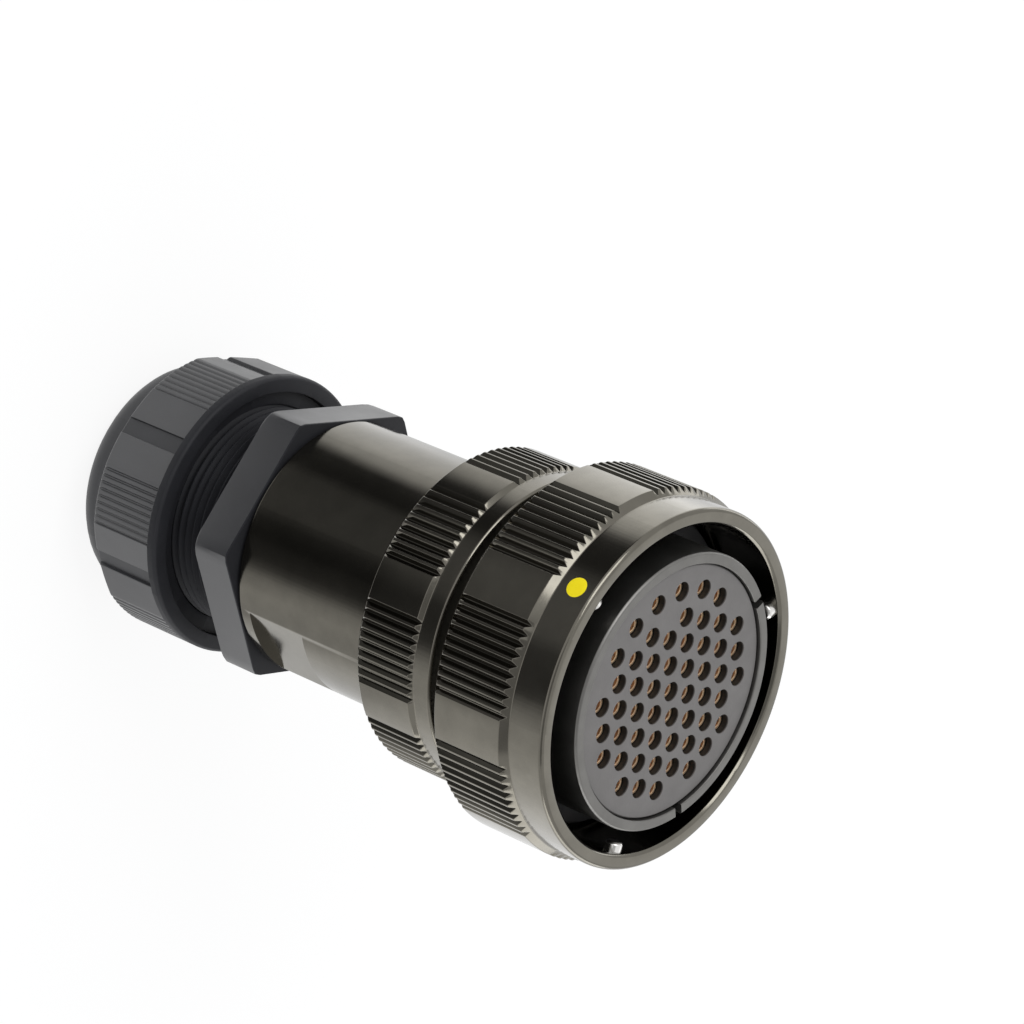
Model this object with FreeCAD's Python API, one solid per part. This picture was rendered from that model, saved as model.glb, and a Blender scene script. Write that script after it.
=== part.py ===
import FreeCAD, Part
import math
import os

# Cable socket: a reverse bayonet cable connector with 54 socket contacts and a cable gland.
# Millimetres. +Z is the axis, from the gland nut on the floor up to the mating face.
# Angles are about +Z from +X. Each driving size is written once below.

os.makedirs("parts", exist_ok=True)

# Clearances
seat_gap = 0.05
run_gap = 0.05

# Coupling ring
ring_r = 29.9
ring_l = 21.0
ring_grip_step = 1.1
ring_wall = 2.6
ring_band_l = 6.4
ring_edge = 0.35
ring_rear_chamfer = 0.7
ring_web_l = 3.6
ring_land_turn = 109.5
ring_land_angle = 14.5
ring_groove_count = 10
ring_float = 1.0

# Grooves of both grips
panels = 8
groove_w = 1.25
groove_depth = 0.8
groove_over = 1.2
groove_rear_stop = 0.4

# Bayonet pins and the index dot
pin_count = 3
pin_turn = 27.2
pin_r = 1.4
pin_depth = 2.1
pin_reach = 1.6
pin_root = 1.5
pin_edge = 0.4
dot_r = 1.65
dot_depth = 3.4
dot_recess = 0.25

# Plug shell
shell_wall = 1.8
shell_proud = 1.0
shell_tail = 2.0
shell_edge = 0.3
shell_ledge = 1.0
shell_flange_gap = 0.7
shell_flange_step = 3.3
shell_flange_l = 2.0
shell_bearing_step = 0.2
shell_thread_step = 0.2
keyway_w = 1.4
keyway_l = 8.0
main_key_turn = 294.4
side_key_turn = 41.6

# Spring, washers and seals at the front
wave_strip = 0.5
wave_reserve = 0.6
wave_count = 4
wave_points = 8
washer_l = 0.8
washer_side_gap = 0.4
clip_l = 1.4
clip_step = 2.2
clip_groove = 0.6
clip_mouth = 4.0
face_seal_l = 1.5
face_seal_rim = 0.2
face_seal_seat = 0.3

# Inserts and contacts. The shares are of the shell's bore, and of the pitch for the hole
pitch_share = 0.219
reach_share = 0.804
inner_share = 0.637
arc_share = 0.7966
hole_share = 0.352
insert_recess = 0.6
insert_front_l = 9.4
insert_rear_l = 12.0
grommet_l = 10.0
insert_edge = 0.3
hole_rear_step = 0.25
hole_turn = -6.9
arc_hole_count = 5
arc_mid = 121.6
arc_step = 18.9
spare_rows = 2
contact_sink = 1.2
contact_gap = 0.15
contact_wall = 0.5
contact_bore_l = 6.5
contact_collar_l = 1.2
contact_tail_l = 19.0
contact_tail_bore_l = 6.0
ferrule_wall = 2.1

# Endbell
bell_under_ring = 3.6
bell_grip_l = 11.8
bell_rear_chamfer = 1.0
bell_front_chamfer = 0.6
bell_band_step = 0.7
bell_band_l = 3.3
bell_band_edge = 0.3
bell_land_turn = 122.9
bell_land_angle = 14.3
bell_groove_count = 9
bell_ring_gap = 4.5
barrel_step = 5.4
barrel_l = 30.7
barrel_rear_chamfer = 0.6
barrel_wall = 2.7
flat_cut = 1.34
flat_rim = 2.5
flat_l = 11.5
flat_turn = 229.7
bell_gasket_l = 1.6

# Gland body
hex_l = 7.2
hex_turn = 4.3
hex_chamfer = 0.8
mount_wall = 3.3
mount_thread_l = 11.0
gland_wall = 3.6
thread_step = 0.6
finger_step = 0.8
finger_slope = 1.8
finger_l = 3.0
finger_count = 12
finger_slot_w = 1.2
finger_slot_l = 4.2
o_ring_l = 1.2
o_ring_w = 1.6

# Gland nut, seal and slip washer
nut_wall = 5.3
nut_l = 22.2
nut_gap = 8.8
nut_collar_l = 1.7
nut_edge = 0.4
nut_grip_l = 12.0
nut_shoulder_l = 2.5
nut_shoulder_step = 2.7
nut_rim_step = 0.8
nut_rim_roll = 4.2
nut_mouth_gap = 1.0
nut_mouth_edge = 1.2
nut_floor_l = 7.5
nut_pocket_l = 2.0
nut_cone_l = 3.5
nut_recess_step = 2.6
nut_recess_l = 1.5
nut_turn = 1.5
nut_sides = 6
nut_flat_angle = 35.0
nut_channel_angle = 7.6
nut_channel_depth = 0.5
rib_count = 9
rib_depth = 0.3
rib_share = 0.5
seal_lip = 2.0
seal_wall = 2.3
slip_l = 1.5
slip_wall = 2.5
nut_travel = 3.0

# Heights, from the floor up
wave_h = wave_strip + ring_float + wave_reserve
z_nut_front = nut_l
z_hex_rear = z_nut_front + nut_gap
z_bell_rear = z_hex_rear + hex_l
z_grip_rear = z_bell_rear + barrel_l
z_band_rear = z_grip_rear + bell_grip_l
z_bell_front = z_band_rear + bell_band_l
z_ring_rear = z_bell_front + bell_ring_gap
z_ring_front = z_ring_rear + ring_l
z_shell_front = z_ring_front + shell_proud
z_web_front = z_ring_rear + ring_web_l
z_washer_front = z_web_front + washer_l
z_flange_rear = z_washer_front + wave_h
z_flange_front = z_flange_rear + shell_flange_l
z_insert_front = z_shell_front - insert_recess
z_insert_split = z_insert_front - insert_front_l
z_grommet_front = z_insert_split - insert_rear_l
z_grommet_rear = z_grommet_front - grommet_l
z_shell_rear = z_grommet_rear - shell_tail
z_bell_step = z_shell_rear - bell_gasket_l
z_mount_end = z_bell_rear + mount_thread_l

# Radii that follow from the ring's radius, inwards and backwards through the walls and steps
ring_band_r = ring_r - ring_grip_step
ring_bore_r = ring_band_r - ring_wall
shell_flange_r = ring_bore_r - shell_flange_gap
shell_r = shell_flange_r - shell_flange_step
shell_bore_r = shell_r - shell_wall
bell_r = ring_r - bell_under_ring
bell_band_r = bell_r - bell_band_step
barrel_r = bell_r - barrel_step
barrel_bore_r = barrel_r - barrel_wall
flat_half_width = barrel_r - flat_cut
mount_thread_r = barrel_r - mount_wall
thread_r = mount_thread_r + thread_step
finger_r = thread_r - finger_step
finger_tip_r = finger_r - finger_slope
gland_bore_r = mount_thread_r - gland_wall
seal_bore_r = gland_bore_r - seal_lip
nut_r = thread_r + nut_wall
nut_shoulder_r = nut_r - nut_shoulder_step
nut_rim_r = nut_shoulder_r - nut_rim_step
nut_rim_flat_r = nut_rim_r - nut_rim_roll
nut_mouth_r = seal_bore_r + nut_mouth_gap
nut_recess_r = thread_r + nut_recess_step

# The hole pattern grows and shrinks with the shell's bore
hole_pitch = pitch_share * shell_bore_r
hole_reach = reach_share * shell_bore_r
hole_inner = inner_share * shell_bore_r
arc_r = arc_share * shell_bore_r
hole_r = hole_share * hole_pitch
hole_rear_r = hole_r - hole_rear_step
contact_r = hole_r - contact_gap
contact_bore_r = contact_r - contact_wall

# Fits between the pieces
insert_rear_r = shell_bore_r - shell_ledge - seat_gap
shell_bearing_r = shell_r + shell_bearing_step
shell_thread_r = shell_r - shell_thread_step
clip_r = shell_bearing_r + clip_step
bell_thread_r = shell_thread_r + seat_gap
mount_bore_r = mount_thread_r + seat_gap
seal_r = seal_bore_r + seal_wall
seal_seat_r = seal_r + seat_gap
nut_thread_r = thread_r + run_gap
slip_r = seal_bore_r + seat_gap + slip_wall
nut_pocket_r = slip_r + 2 * seat_gap
cone_rise = nut_cone_l / (nut_thread_r - nut_pocket_r)

# The fingers just clear the nut's cone when the nut is screwed home
z_nut_cone = nut_floor_l + nut_pocket_l
z_finger_tip = z_nut_cone + nut_travel + (finger_tip_r - nut_pocket_r) * cone_rise + run_gap
z_finger_root = z_finger_tip + finger_l


def revolved(points):
    """A solid of revolution about Z from a closed outline of (radius, height) points."""
    outline = [FreeCAD.Vector(r, 0, z) for r, z in points]
    outline.append(outline[0])
    face = Part.Face(Part.makePolygon(outline))
    return face.revolve(FreeCAD.Vector(0, 0, 0), FreeCAD.Vector(0, 0, 1), 360)


def disc(radius, low, high):
    """A solid cylinder about Z."""
    return Part.makeCylinder(radius, high - low, FreeCAD.Vector(0, 0, low))


def tube(outer, inner, low, high):
    """A plain ring about Z."""
    return revolved([(inner, low), (outer, low), (outer, high), (inner, high)])


def polar(radius, degrees, height=0.0):
    """A point at a radius and an angle about Z."""
    turn = math.radians(degrees)
    return FreeCAD.Vector(radius * math.cos(turn), radius * math.sin(turn), height)


def turned(shape, degrees):
    """A copy of a shape turned about Z."""
    copy = shape.copy()
    copy.rotate(FreeCAD.Vector(0, 0, 0), FreeCAD.Vector(0, 0, 1), degrees)
    return copy


def prism(points, low, high):
    """A straight prism on an outline of XY points, between two heights."""
    outline = [FreeCAD.Vector(p.x, p.y, low) for p in points]
    outline.append(outline[0])
    face = Part.Face(Part.makePolygon(outline))
    return face.extrude(FreeCAD.Vector(0, 0, high - low))


def radial_bar(width, inner, outer, low, high, degrees):
    """A straight bar that runs outward along a radius."""
    bar = Part.makeBox(outer - inner, width, high - low, FreeCAD.Vector(inner, -width / 2, low))
    return turned(bar, degrees)


def radial_pin(radius, inner, outer, height, degrees):
    """A round pin whose axis runs outward along a radius."""
    pin = Part.makeCylinder(radius, outer - inner, FreeCAD.Vector(inner, 0, height), FreeCAD.Vector(1, 0, 0))
    return turned(pin, degrees)


def groove_cutters(radius, low, high, land_turn, land_angle, count):
    """V cutters for one grip: panels of grooves with a plain land before each panel."""
    outside = radius + groove_over
    half = math.degrees(groove_w / 2 / radius)
    flare = half * (outside - radius + groove_depth) / groove_depth
    wedge = prism([polar(radius - groove_depth, 0), polar(outside, -flare), polar(outside, flare)], low, high)
    panel_angle = 360.0 / panels
    first = land_turn + land_angle / 2 + half
    pitch = (panel_angle - land_angle - 2 * half) / max(count - 1, 1)
    return [
        turned(wedge, first + panel * panel_angle + groove * pitch)
        for panel in range(panels)
        for groove in range(count)
    ]


def save(name, shape):
    """Write one node, after a check that its solids are sound."""
    if not shape.isValid():
        raise ValueError(name + " is not a valid shape")
    shape.exportStep("parts/" + name + ".step")
    print(name, "solids", len(shape.Solids), "volume", round(shape.Volume, 1))


# Coupling ring: grip with lands, smooth front band, inner web that the spring pushes on
def coupling_ring():
    chamfer = ring_r - ring_band_r
    z_band_end = z_ring_front - ring_band_l
    profile = [
        (shell_bearing_r + run_gap, z_ring_rear),
        (ring_r - ring_rear_chamfer, z_ring_rear),
        (ring_r, z_ring_rear + ring_rear_chamfer),
        (ring_r, z_band_end - chamfer),
        (ring_band_r, z_band_end),
        (ring_band_r, z_ring_front - ring_edge),
        (ring_band_r - ring_edge, z_ring_front),
        (ring_bore_r + ring_edge, z_ring_front),
        (ring_bore_r, z_ring_front - ring_edge),
        (ring_bore_r, z_web_front),
        (shell_bearing_r + run_gap, z_web_front),
    ]
    ring = revolved(profile)
    z_groove_end = z_ring_rear + groove_rear_stop
    grooves = groove_cutters(ring_r, z_groove_end, z_band_end, ring_land_turn, ring_land_angle, ring_groove_count)
    z_pin = z_ring_front - pin_depth
    z_dot = z_ring_front - dot_depth
    sockets = [
        radial_pin(pin_r, ring_bore_r - pin_root, ring_bore_r + pin_root, z_pin, pin_turn + k * 360.0 / pin_count)
        for k in range(pin_count)
    ]
    dot_pocket = radial_pin(dot_r, ring_band_r - dot_recess, ring_r, z_dot, pin_turn + 360.0 / pin_count)
    return ring.cut(Part.makeCompound(grooves)).cut(Part.makeCompound(sockets + [dot_pocket]))


def bayonet_pin(number):
    """A pin in the ring's wall that reaches in towards the plug shell, with a rounded tip."""
    z_pin = z_ring_front - pin_depth
    tip = ring_bore_r - pin_reach
    pin = radial_pin(pin_r, tip, ring_bore_r + pin_root, z_pin, 0)
    rim = [e for e in pin.Edges if abs(e.BoundBox.Center.x - tip) < seat_gap and e.BoundBox.XLength < seat_gap]
    pin = pin.makeChamfer(pin_edge, rim)
    return turned(pin, pin_turn + number * 360.0 / pin_count)


def index_dot():
    """The paint in the dot's shallow pocket, flush with the band."""
    z_dot = z_ring_front - dot_depth
    paint = radial_pin(dot_r, ring_band_r - dot_recess, ring_r, z_dot, pin_turn + 360.0 / pin_count)
    return paint.common(disc(ring_band_r, z_dot - 2 * dot_r, z_dot + 2 * dot_r))


def wave_spring():
    """A strip washer bent into even waves between the shell's flange and the thrust washer."""
    inner = shell_bearing_r + washer_side_gap
    outer = ring_bore_r - washer_side_gap
    swing = (wave_h - wave_strip) / 2
    middle = z_flange_rear - wave_h / 2 - wave_strip / 2
    steps = wave_count * wave_points

    def edge(radius):
        points = [
            polar(radius, 360.0 * k / steps, middle + swing * math.cos(2 * math.pi * wave_count * k / steps))
            for k in range(steps)
        ]
        curve = Part.BSplineCurve()
        curve.interpolate(points, PeriodicFlag=True)
        return curve.toShape()

    strip = Part.makeRuledSurface(edge(inner), edge(outer))
    return strip.extrude(FreeCAD.Vector(0, 0, wave_strip))


def thrust_washer():
    inner = shell_bearing_r + washer_side_gap
    return tube(ring_bore_r - washer_side_gap, inner, z_web_front, z_washer_front)


def retaining_clip():
    """A split ring in the shell's groove that stops the coupling ring."""
    z_top = z_ring_rear - run_gap
    ring = tube(clip_r, shell_bearing_r - clip_groove, z_top - clip_l, z_top)
    mouth = radial_bar(clip_mouth, 0, clip_r + clip_l, z_top - 2 * clip_l, z_top + clip_l, flat_turn)
    return ring.cut(mouth)


# Plug shell: the mating tube with keyways, the flange and the rear thread's size
def plug_shell():
    z_top = z_ring_rear - run_gap
    z_thread = z_bell_front + bell_band_edge
    profile = [
        (insert_rear_r + seat_gap, z_shell_rear),
        (shell_thread_r, z_shell_rear),
        (shell_thread_r, z_thread),
        (shell_bearing_r, z_thread),
        (shell_bearing_r, z_top - clip_l),
        (shell_bearing_r - clip_groove, z_top - clip_l),
        (shell_bearing_r - clip_groove, z_top),
        (shell_bearing_r, z_top),
        (shell_bearing_r, z_flange_rear),
        (shell_flange_r, z_flange_rear),
        (shell_flange_r, z_flange_front),
        (shell_r - face_seal_seat, z_flange_front),
        (shell_r - face_seal_seat, z_flange_front + face_seal_l),
        (shell_r, z_flange_front + face_seal_l),
        (shell_r, z_shell_front - shell_edge),
        (shell_r - shell_edge, z_shell_front),
        (shell_bore_r, z_shell_front),
        (shell_bore_r, z_insert_split),
        (insert_rear_r + seat_gap, z_insert_split),
    ]
    shell = revolved(profile)
    z_key = z_shell_front - keyway_l
    keyways = [
        radial_bar(keyway_w, shell_bore_r - shell_wall, shell_r + shell_wall, z_key, z_shell_front + shell_wall, turn)
        for turn in (main_key_turn, side_key_turn)
    ]
    return shell.cut(Part.makeCompound(keyways))


def interface_seal():
    inner = shell_r - face_seal_seat
    return tube(shell_flange_r - face_seal_rim, inner, z_flange_front, z_flange_front + face_seal_l)


# Hole pattern: a triangular lattice about the axis, with one outer arc of evenly spaced holes
def hole_places():
    places = []
    reach = int(hole_reach / hole_pitch) + spare_rows
    for row in range(-reach, reach + 1):
        for column in range(-reach, reach + 1):
            along = hole_pitch * (column + row / 2)
            across = hole_pitch * row * math.sqrt(3) / 2
            radius = math.hypot(along, across)
            angle = math.degrees(math.atan2(across, along)) + hole_turn
            off_arc = abs((angle - arc_mid + 180) % 360 - 180)
            in_arc = radius > hole_inner and off_arc < arc_step * arc_hole_count / 2
            if radius < hole_reach and not in_arc:
                places.append(polar(radius, angle))
    for number in range(arc_hole_count):
        places.append(polar(arc_r, arc_mid + arc_step * (number - (arc_hole_count - 1) / 2)))
    return places


def copies(shape, places):
    """A compound of a shape at each place."""
    made = []
    for place in places:
        one = shape.copy()
        one.translate(place)
        made.append(one)
    return Part.makeCompound(made)


def drilled(radius, edge, low, high, hole):
    """An insert: a disc with its contact holes, its upper edge broken."""
    body = revolved([(0, low), (radius, low), (radius, high - edge), (radius - edge, high), (0, high)])
    return body.cut(copies(disc(hole, low - edge, high + edge), hole_places()))


def front_insert():
    return drilled(shell_bore_r - seat_gap, insert_edge, z_insert_split, z_insert_front, hole_r)


def rear_insert():
    return drilled(insert_rear_r, insert_edge, z_grommet_front, z_insert_split, hole_rear_r)


def wire_grommet():
    return drilled(insert_rear_r, insert_edge, z_grommet_rear, z_grommet_front, hole_rear_r)


def socket_contacts():
    """One turned contact, copied to each hole: socket, collar on the rear insert, hollow tail."""
    z_mouth = z_insert_front - contact_sink
    tail_r = hole_rear_r - seat_gap
    z_collar = z_insert_split + contact_collar_l
    z_tail = z_insert_split - contact_tail_l
    profile = [
        (0, z_tail + contact_tail_bore_l),
        (contact_bore_r, z_tail + contact_tail_bore_l),
        (contact_bore_r, z_tail),
        (tail_r, z_tail),
        (tail_r, z_insert_split),
        (hole_r - seat_gap, z_insert_split),
        (hole_r - seat_gap, z_collar),
        (contact_r, z_collar),
        (contact_r, z_mouth),
        (contact_bore_r, z_mouth),
        (contact_bore_r, z_mouth - contact_bore_l),
        (0, z_mouth - contact_bore_l),
    ]
    return copies(revolved(profile), hole_places())


def grommet_ferrule():
    return tube(insert_rear_r, insert_rear_r - ferrule_wall, z_bell_step, z_grommet_rear)


# Endbell: grip, plain band and barrel in one turned piece with two spanner flats
def endbell():
    profile = [
        (mount_bore_r, z_bell_rear + o_ring_l),
        (mount_bore_r + o_ring_w, z_bell_rear + o_ring_l),
        (mount_bore_r + o_ring_w, z_bell_rear),
        (barrel_r - barrel_rear_chamfer, z_bell_rear),
        (barrel_r, z_bell_rear + barrel_rear_chamfer),
        (barrel_r, z_grip_rear),
        (bell_r - bell_rear_chamfer, z_grip_rear),
        (bell_r, z_grip_rear + bell_rear_chamfer),
        (bell_r, z_band_rear - bell_front_chamfer),
        (bell_band_r, z_band_rear),
        (bell_band_r, z_bell_front - bell_band_edge),
        (bell_band_r - bell_band_edge, z_bell_front),
        (bell_thread_r, z_bell_front),
        (bell_thread_r, z_bell_step),
        (barrel_bore_r, z_bell_step),
        (barrel_bore_r, z_mount_end),
        (mount_bore_r, z_mount_end),
    ]
    bell = revolved(profile)
    z_groove = z_grip_rear + groove_rear_stop
    grooves = groove_cutters(bell_r, z_groove, z_band_rear, bell_land_turn, bell_land_angle, bell_groove_count)
    z_flat = z_bell_rear + flat_rim
    flats = [
        radial_bar(2 * barrel_r, flat_half_width, 2 * barrel_r, z_flat, z_flat + flat_l, flat_turn + side * 180)
        for side in range(2)
    ]
    return bell.cut(Part.makeCompound(grooves)).cut(Part.makeCompound(flats))


def endbell_gasket():
    return tube(shell_thread_r, insert_rear_r + seat_gap, z_bell_step, z_shell_rear)


def gland_o_ring():
    return tube(mount_bore_r + o_ring_w, mount_thread_r, z_bell_rear, z_bell_rear + o_ring_l)


# Gland body: hexagon, mounting thread forward, clamping thread and fingers towards the nut
def gland_body():
    corner_r = barrel_r / math.cos(math.pi / 6)
    corners = [polar(corner_r, hex_turn + k * 60) for k in range(6)]
    hexagon = prism(corners, z_hex_rear, z_bell_rear)
    limit = revolved([
        (0, z_hex_rear),
        (corner_r - hex_chamfer, z_hex_rear),
        (corner_r, z_hex_rear + hex_chamfer / 2),
        (corner_r, z_bell_rear),
        (0, z_bell_rear),
    ])
    stem = revolved([
        (0, z_finger_tip),
        (finger_tip_r, z_finger_tip),
        (finger_r, z_finger_tip + (finger_r - finger_tip_r) * cone_rise),
        (finger_r, z_finger_root),
        (thread_r, z_finger_root + thread_r - finger_r),
        (thread_r, z_hex_rear),
        (0, z_hex_rear),
    ])
    neck = disc(mount_thread_r, z_bell_rear, z_mount_end)
    solid = hexagon.common(limit).fuse(stem).fuse(neck)
    z_below = z_finger_tip - finger_l
    z_slot_end = z_finger_tip + finger_slot_l
    bore = disc(gland_bore_r, z_below, z_mount_end + finger_l)
    seat = disc(seal_seat_r, z_below, seal_top())
    slots = [
        radial_bar(finger_slot_w, 0, nut_r, z_below, z_slot_end, k * 360.0 / finger_count)
        for k in range(finger_count)
    ]
    return solid.cut(bore).cut(seat).cut(Part.makeCompound(slots)).removeSplitter()


def seal_top():
    """The height of the shoulder that the seal is pressed against."""
    return z_hex_rear - gland_wall


def seal_bottom():
    """The height at which the seal rests on the slip washer."""
    return nut_floor_l + slip_l


def gland_seal():
    return tube(seal_r, seal_bore_r, seal_bottom(), seal_top())


def slip_washer():
    return tube(slip_r, seal_bore_r + seat_gap, nut_floor_l, nut_floor_l + slip_l)


# Gland nut: six ribbed corners with smooth flats between, a front collar and a rounded rear rim
def nut_outline(radius):
    """The closed outline of the grip: ribbed arcs as zigzags, flats with a shallow channel."""
    side = 360.0 / nut_sides
    ribbed = side - nut_flat_angle
    channel = nut_channel_angle / 2
    flat = radius * math.cos(math.radians(nut_flat_angle / 2))
    points = []
    for k in range(nut_sides):
        middle = nut_turn + k * side
        start = middle - ribbed / 2
        rib = ribbed / rib_count
        for number in range(rib_count):
            at = start + number * rib
            points.append(polar(radius, at))
            points.append(polar(radius, at + rib * rib_share))
            points.append(polar(radius - rib_depth, at + rib * (1 + rib_share) / 2))
        points.append(polar(radius, start + ribbed))
        centre = middle + side / 2
        on_flat = flat / math.cos(math.radians(channel))
        floor = on_flat - nut_channel_depth
        points.append(polar(on_flat, centre - channel))
        points.append(polar(floor, centre - channel))
        points.append(polar(floor, centre + channel))
        points.append(polar(on_flat, centre + channel))
    return points


def gland_nut():
    z_grip_low = nut_l - nut_collar_l - nut_grip_l
    z_shoulder = z_grip_low - nut_shoulder_l
    grip = prism(nut_outline(nut_r), z_shoulder, nut_l - nut_collar_l)
    limit = revolved([
        (0, z_shoulder),
        (nut_shoulder_r, z_shoulder),
        (nut_r + rib_depth, z_grip_low),
        (nut_r + rib_depth, nut_l),
        (0, nut_l),
    ])
    collar = revolved([
        (0, nut_l - nut_collar_l),
        (nut_r, nut_l - nut_collar_l),
        (nut_r, nut_l - nut_edge),
        (nut_r - nut_edge, nut_l),
        (0, nut_l),
    ])
    rim = rounded_rim(z_shoulder)
    solid = grip.common(limit).fuse(collar).fuse(rim)
    hollow = revolved([
        (0, -nut_mouth_edge),
        (nut_mouth_r + 2 * nut_mouth_edge, -nut_mouth_edge),
        (nut_mouth_r, nut_mouth_edge),
        (nut_mouth_r, nut_floor_l),
        (nut_pocket_r, nut_floor_l),
        (nut_pocket_r, z_nut_cone),
        (nut_thread_r, z_nut_cone + nut_cone_l),
        (nut_thread_r, nut_l - nut_recess_l),
        (nut_recess_r, nut_l - nut_recess_l),
        (nut_recess_r, nut_l + nut_edge),
        (0, nut_l + nut_edge),
    ])
    return solid.cut(hollow).removeSplitter()


def rounded_rim(height):
    """The rear rim: an upright side that rolls over to a flat annulus on the floor."""
    roll = nut_rim_r - nut_rim_flat_r
    drop = height - roll
    low = FreeCAD.Vector(nut_rim_flat_r, 0, 0)
    side = FreeCAD.Vector(nut_rim_r, 0, roll)
    middle = FreeCAD.Vector(
        nut_rim_flat_r + roll * math.sin(math.pi / 4),
        0,
        roll - roll * math.cos(math.pi / 4),
    )
    top = FreeCAD.Vector(nut_rim_r, 0, roll + drop)
    axis_low = FreeCAD.Vector(0, 0, 0)
    axis_top = FreeCAD.Vector(0, 0, height)
    edges = [
        Part.makeLine(axis_low, low),
        Part.Arc(low, middle, side).toShape(),
        Part.makeLine(side, top),
        Part.makeLine(top, axis_top),
        Part.makeLine(axis_top, axis_low),
    ]
    face = Part.Face(Part.Wire(edges))
    return face.revolve(FreeCAD.Vector(0, 0, 0), FreeCAD.Vector(0, 0, 1), 360)


save("coupling_ring", coupling_ring())
for number in range(pin_count):
    save("bayonet_pin_" + str(number + 1), bayonet_pin(number))
save("index_dot", index_dot())
save("wave_spring", wave_spring())
save("thrust_washer", thrust_washer())
save("retaining_clip", retaining_clip())
save("plug_shell", plug_shell())
save("interface_seal", interface_seal())
save("front_insert", front_insert())
save("rear_insert", rear_insert())
save("wire_grommet", wire_grommet())
save("socket_contacts", socket_contacts())
save("grommet_ferrule", grommet_ferrule())
save("endbell", endbell())
save("endbell_gasket", endbell_gasket())
save("gland_o_ring", gland_o_ring())
save("gland_body", gland_body())
save("gland_seal", gland_seal())
save("slip_washer", slip_washer())
save("gland_nut", gland_nut())
print("overall height", z_shell_front, "holes", len(hole_places()))
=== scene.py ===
import bpy
import math
from mathutils import Matrix, Vector


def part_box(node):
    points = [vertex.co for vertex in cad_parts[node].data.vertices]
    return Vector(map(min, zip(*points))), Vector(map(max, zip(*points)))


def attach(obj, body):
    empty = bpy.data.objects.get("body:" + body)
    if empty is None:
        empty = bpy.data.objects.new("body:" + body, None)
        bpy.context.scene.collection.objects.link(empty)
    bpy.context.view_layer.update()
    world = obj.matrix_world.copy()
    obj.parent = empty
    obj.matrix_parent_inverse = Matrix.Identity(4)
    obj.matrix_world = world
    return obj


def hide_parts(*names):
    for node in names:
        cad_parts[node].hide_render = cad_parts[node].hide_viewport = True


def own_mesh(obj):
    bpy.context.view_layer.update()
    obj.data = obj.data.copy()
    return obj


bl_info = {
    "name": "Cable socket",
    "version": (1, 0, 0),
    "blender": (4, 5, 0),
    "location": "View3D > Sidebar > Cable socket",
    "description": "A bayonet cable connector with socket contacts and a cable gland",
    "category": "Object",
}

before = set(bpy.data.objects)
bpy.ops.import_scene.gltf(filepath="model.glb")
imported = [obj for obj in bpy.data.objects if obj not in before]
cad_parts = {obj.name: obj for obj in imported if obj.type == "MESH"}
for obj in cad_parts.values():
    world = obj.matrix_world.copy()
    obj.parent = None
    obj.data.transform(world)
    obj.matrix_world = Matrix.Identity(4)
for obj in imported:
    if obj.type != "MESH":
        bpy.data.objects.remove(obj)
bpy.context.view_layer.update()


def heights(box):
    """The lowest and the highest z of a box, which is two corners."""
    return [Vector(corner).z for corner in box]


ring_low, ring_high = heights(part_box("coupling_ring"))
bell_low, bell_high = heights(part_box("endbell"))
nut_low, nut_high = heights(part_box("gland_nut"))
gland_low, gland_high = heights(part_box("gland_body"))
shell_low, shell_high = heights(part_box("plug_shell"))
insert_low, insert_high = heights(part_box("front_insert"))
seal_low, seal_high = heights(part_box("gland_seal"))
face_seal_low, face_seal_high = heights(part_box("interface_seal"))

FULL_TURN = 2 * math.pi
AXIS_GAP = 0.00002  # an outline that closes at the axis stops this far from it


# Properties that a user would change
def length(name, millimetres, note):
    """A length in metres, written here in millimetres."""
    return bpy.props.FloatProperty(
        name=name, description=note, default=millimetres * 0.001, min=0.0, precision=5, unit="LENGTH")


def turn(name, degrees, note):
    """An angle about the connector's axis, written here in degrees."""
    return bpy.props.FloatProperty(
        name=name, description=note, default=math.radians(degrees), subtype="ANGLE")


def number(name, value, note):
    return bpy.props.IntProperty(name=name, description=note, default=value, min=1)


def colour(name, rgb, note):
    return bpy.props.FloatVectorProperty(
        name=name, description=note, default=rgb, min=0.0, max=1.0, size=3, subtype="COLOR")


class GripSizes(bpy.types.PropertyGroup):
    """The grooves that the coupling ring and the endbell share."""
    panels: number("Panels", 8, "Groups of grooves round each grip")
    groove_width: length("Groove width", 1.25, "Width of a V groove at the grip's surface")
    groove_depth: length("Groove depth", 0.8, "Depth of a V groove")
    rear_stop: length("Rear stop", 0.4, "Wall left behind the grooves at the rear edge")
    edge: length("Edge", 0.12, "Rounding of the turned edges")


class RingSizes(bpy.types.PropertyGroup):
    """The coupling ring, its pins and its dot."""
    radius: length("Radius", 29.9, "Outer radius of the grip")
    bore: length("Bore", 26.2, "Radius of the open front")
    band_radius: length("Band radius", 28.8, "Radius of the smooth front band")
    band_length: length("Band length", 6.4, "Length of the smooth front band")
    web_bore: length("Web bore", 22.45, "Radius of the hole in the inner web")
    web_length: length("Web length", 3.6, "Thickness of the inner web")
    rear_chamfer: length("Rear chamfer", 0.7, "Chamfer of the rear edge")
    front_chamfer: length("Front chamfer", 0.45, "Chamfer of the front edges")
    land_turn: turn("Land turn", 109.5, "Direction of the first plain land")
    land_angle: turn("Land angle", 14.5, "Width of a plain land")
    grooves: number("Grooves", 10, "Grooves in each panel")
    pin_turn: turn("Pin turn", 27.2, "Direction of the first bayonet pin")
    pin_radius: length("Pin radius", 1.4, "Radius of a bayonet pin")
    pin_depth: length("Pin depth", 2.1, "Distance of the pins from the ring's front")
    pin_reach: length("Pin reach", 1.6, "How far a pin stands in from the bore")
    dot_depth: length("Dot depth", 3.4, "Distance of the index dot from the ring's front")
    dot_radius: length("Dot radius", 1.65, "Radius of the painted index dot")


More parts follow.
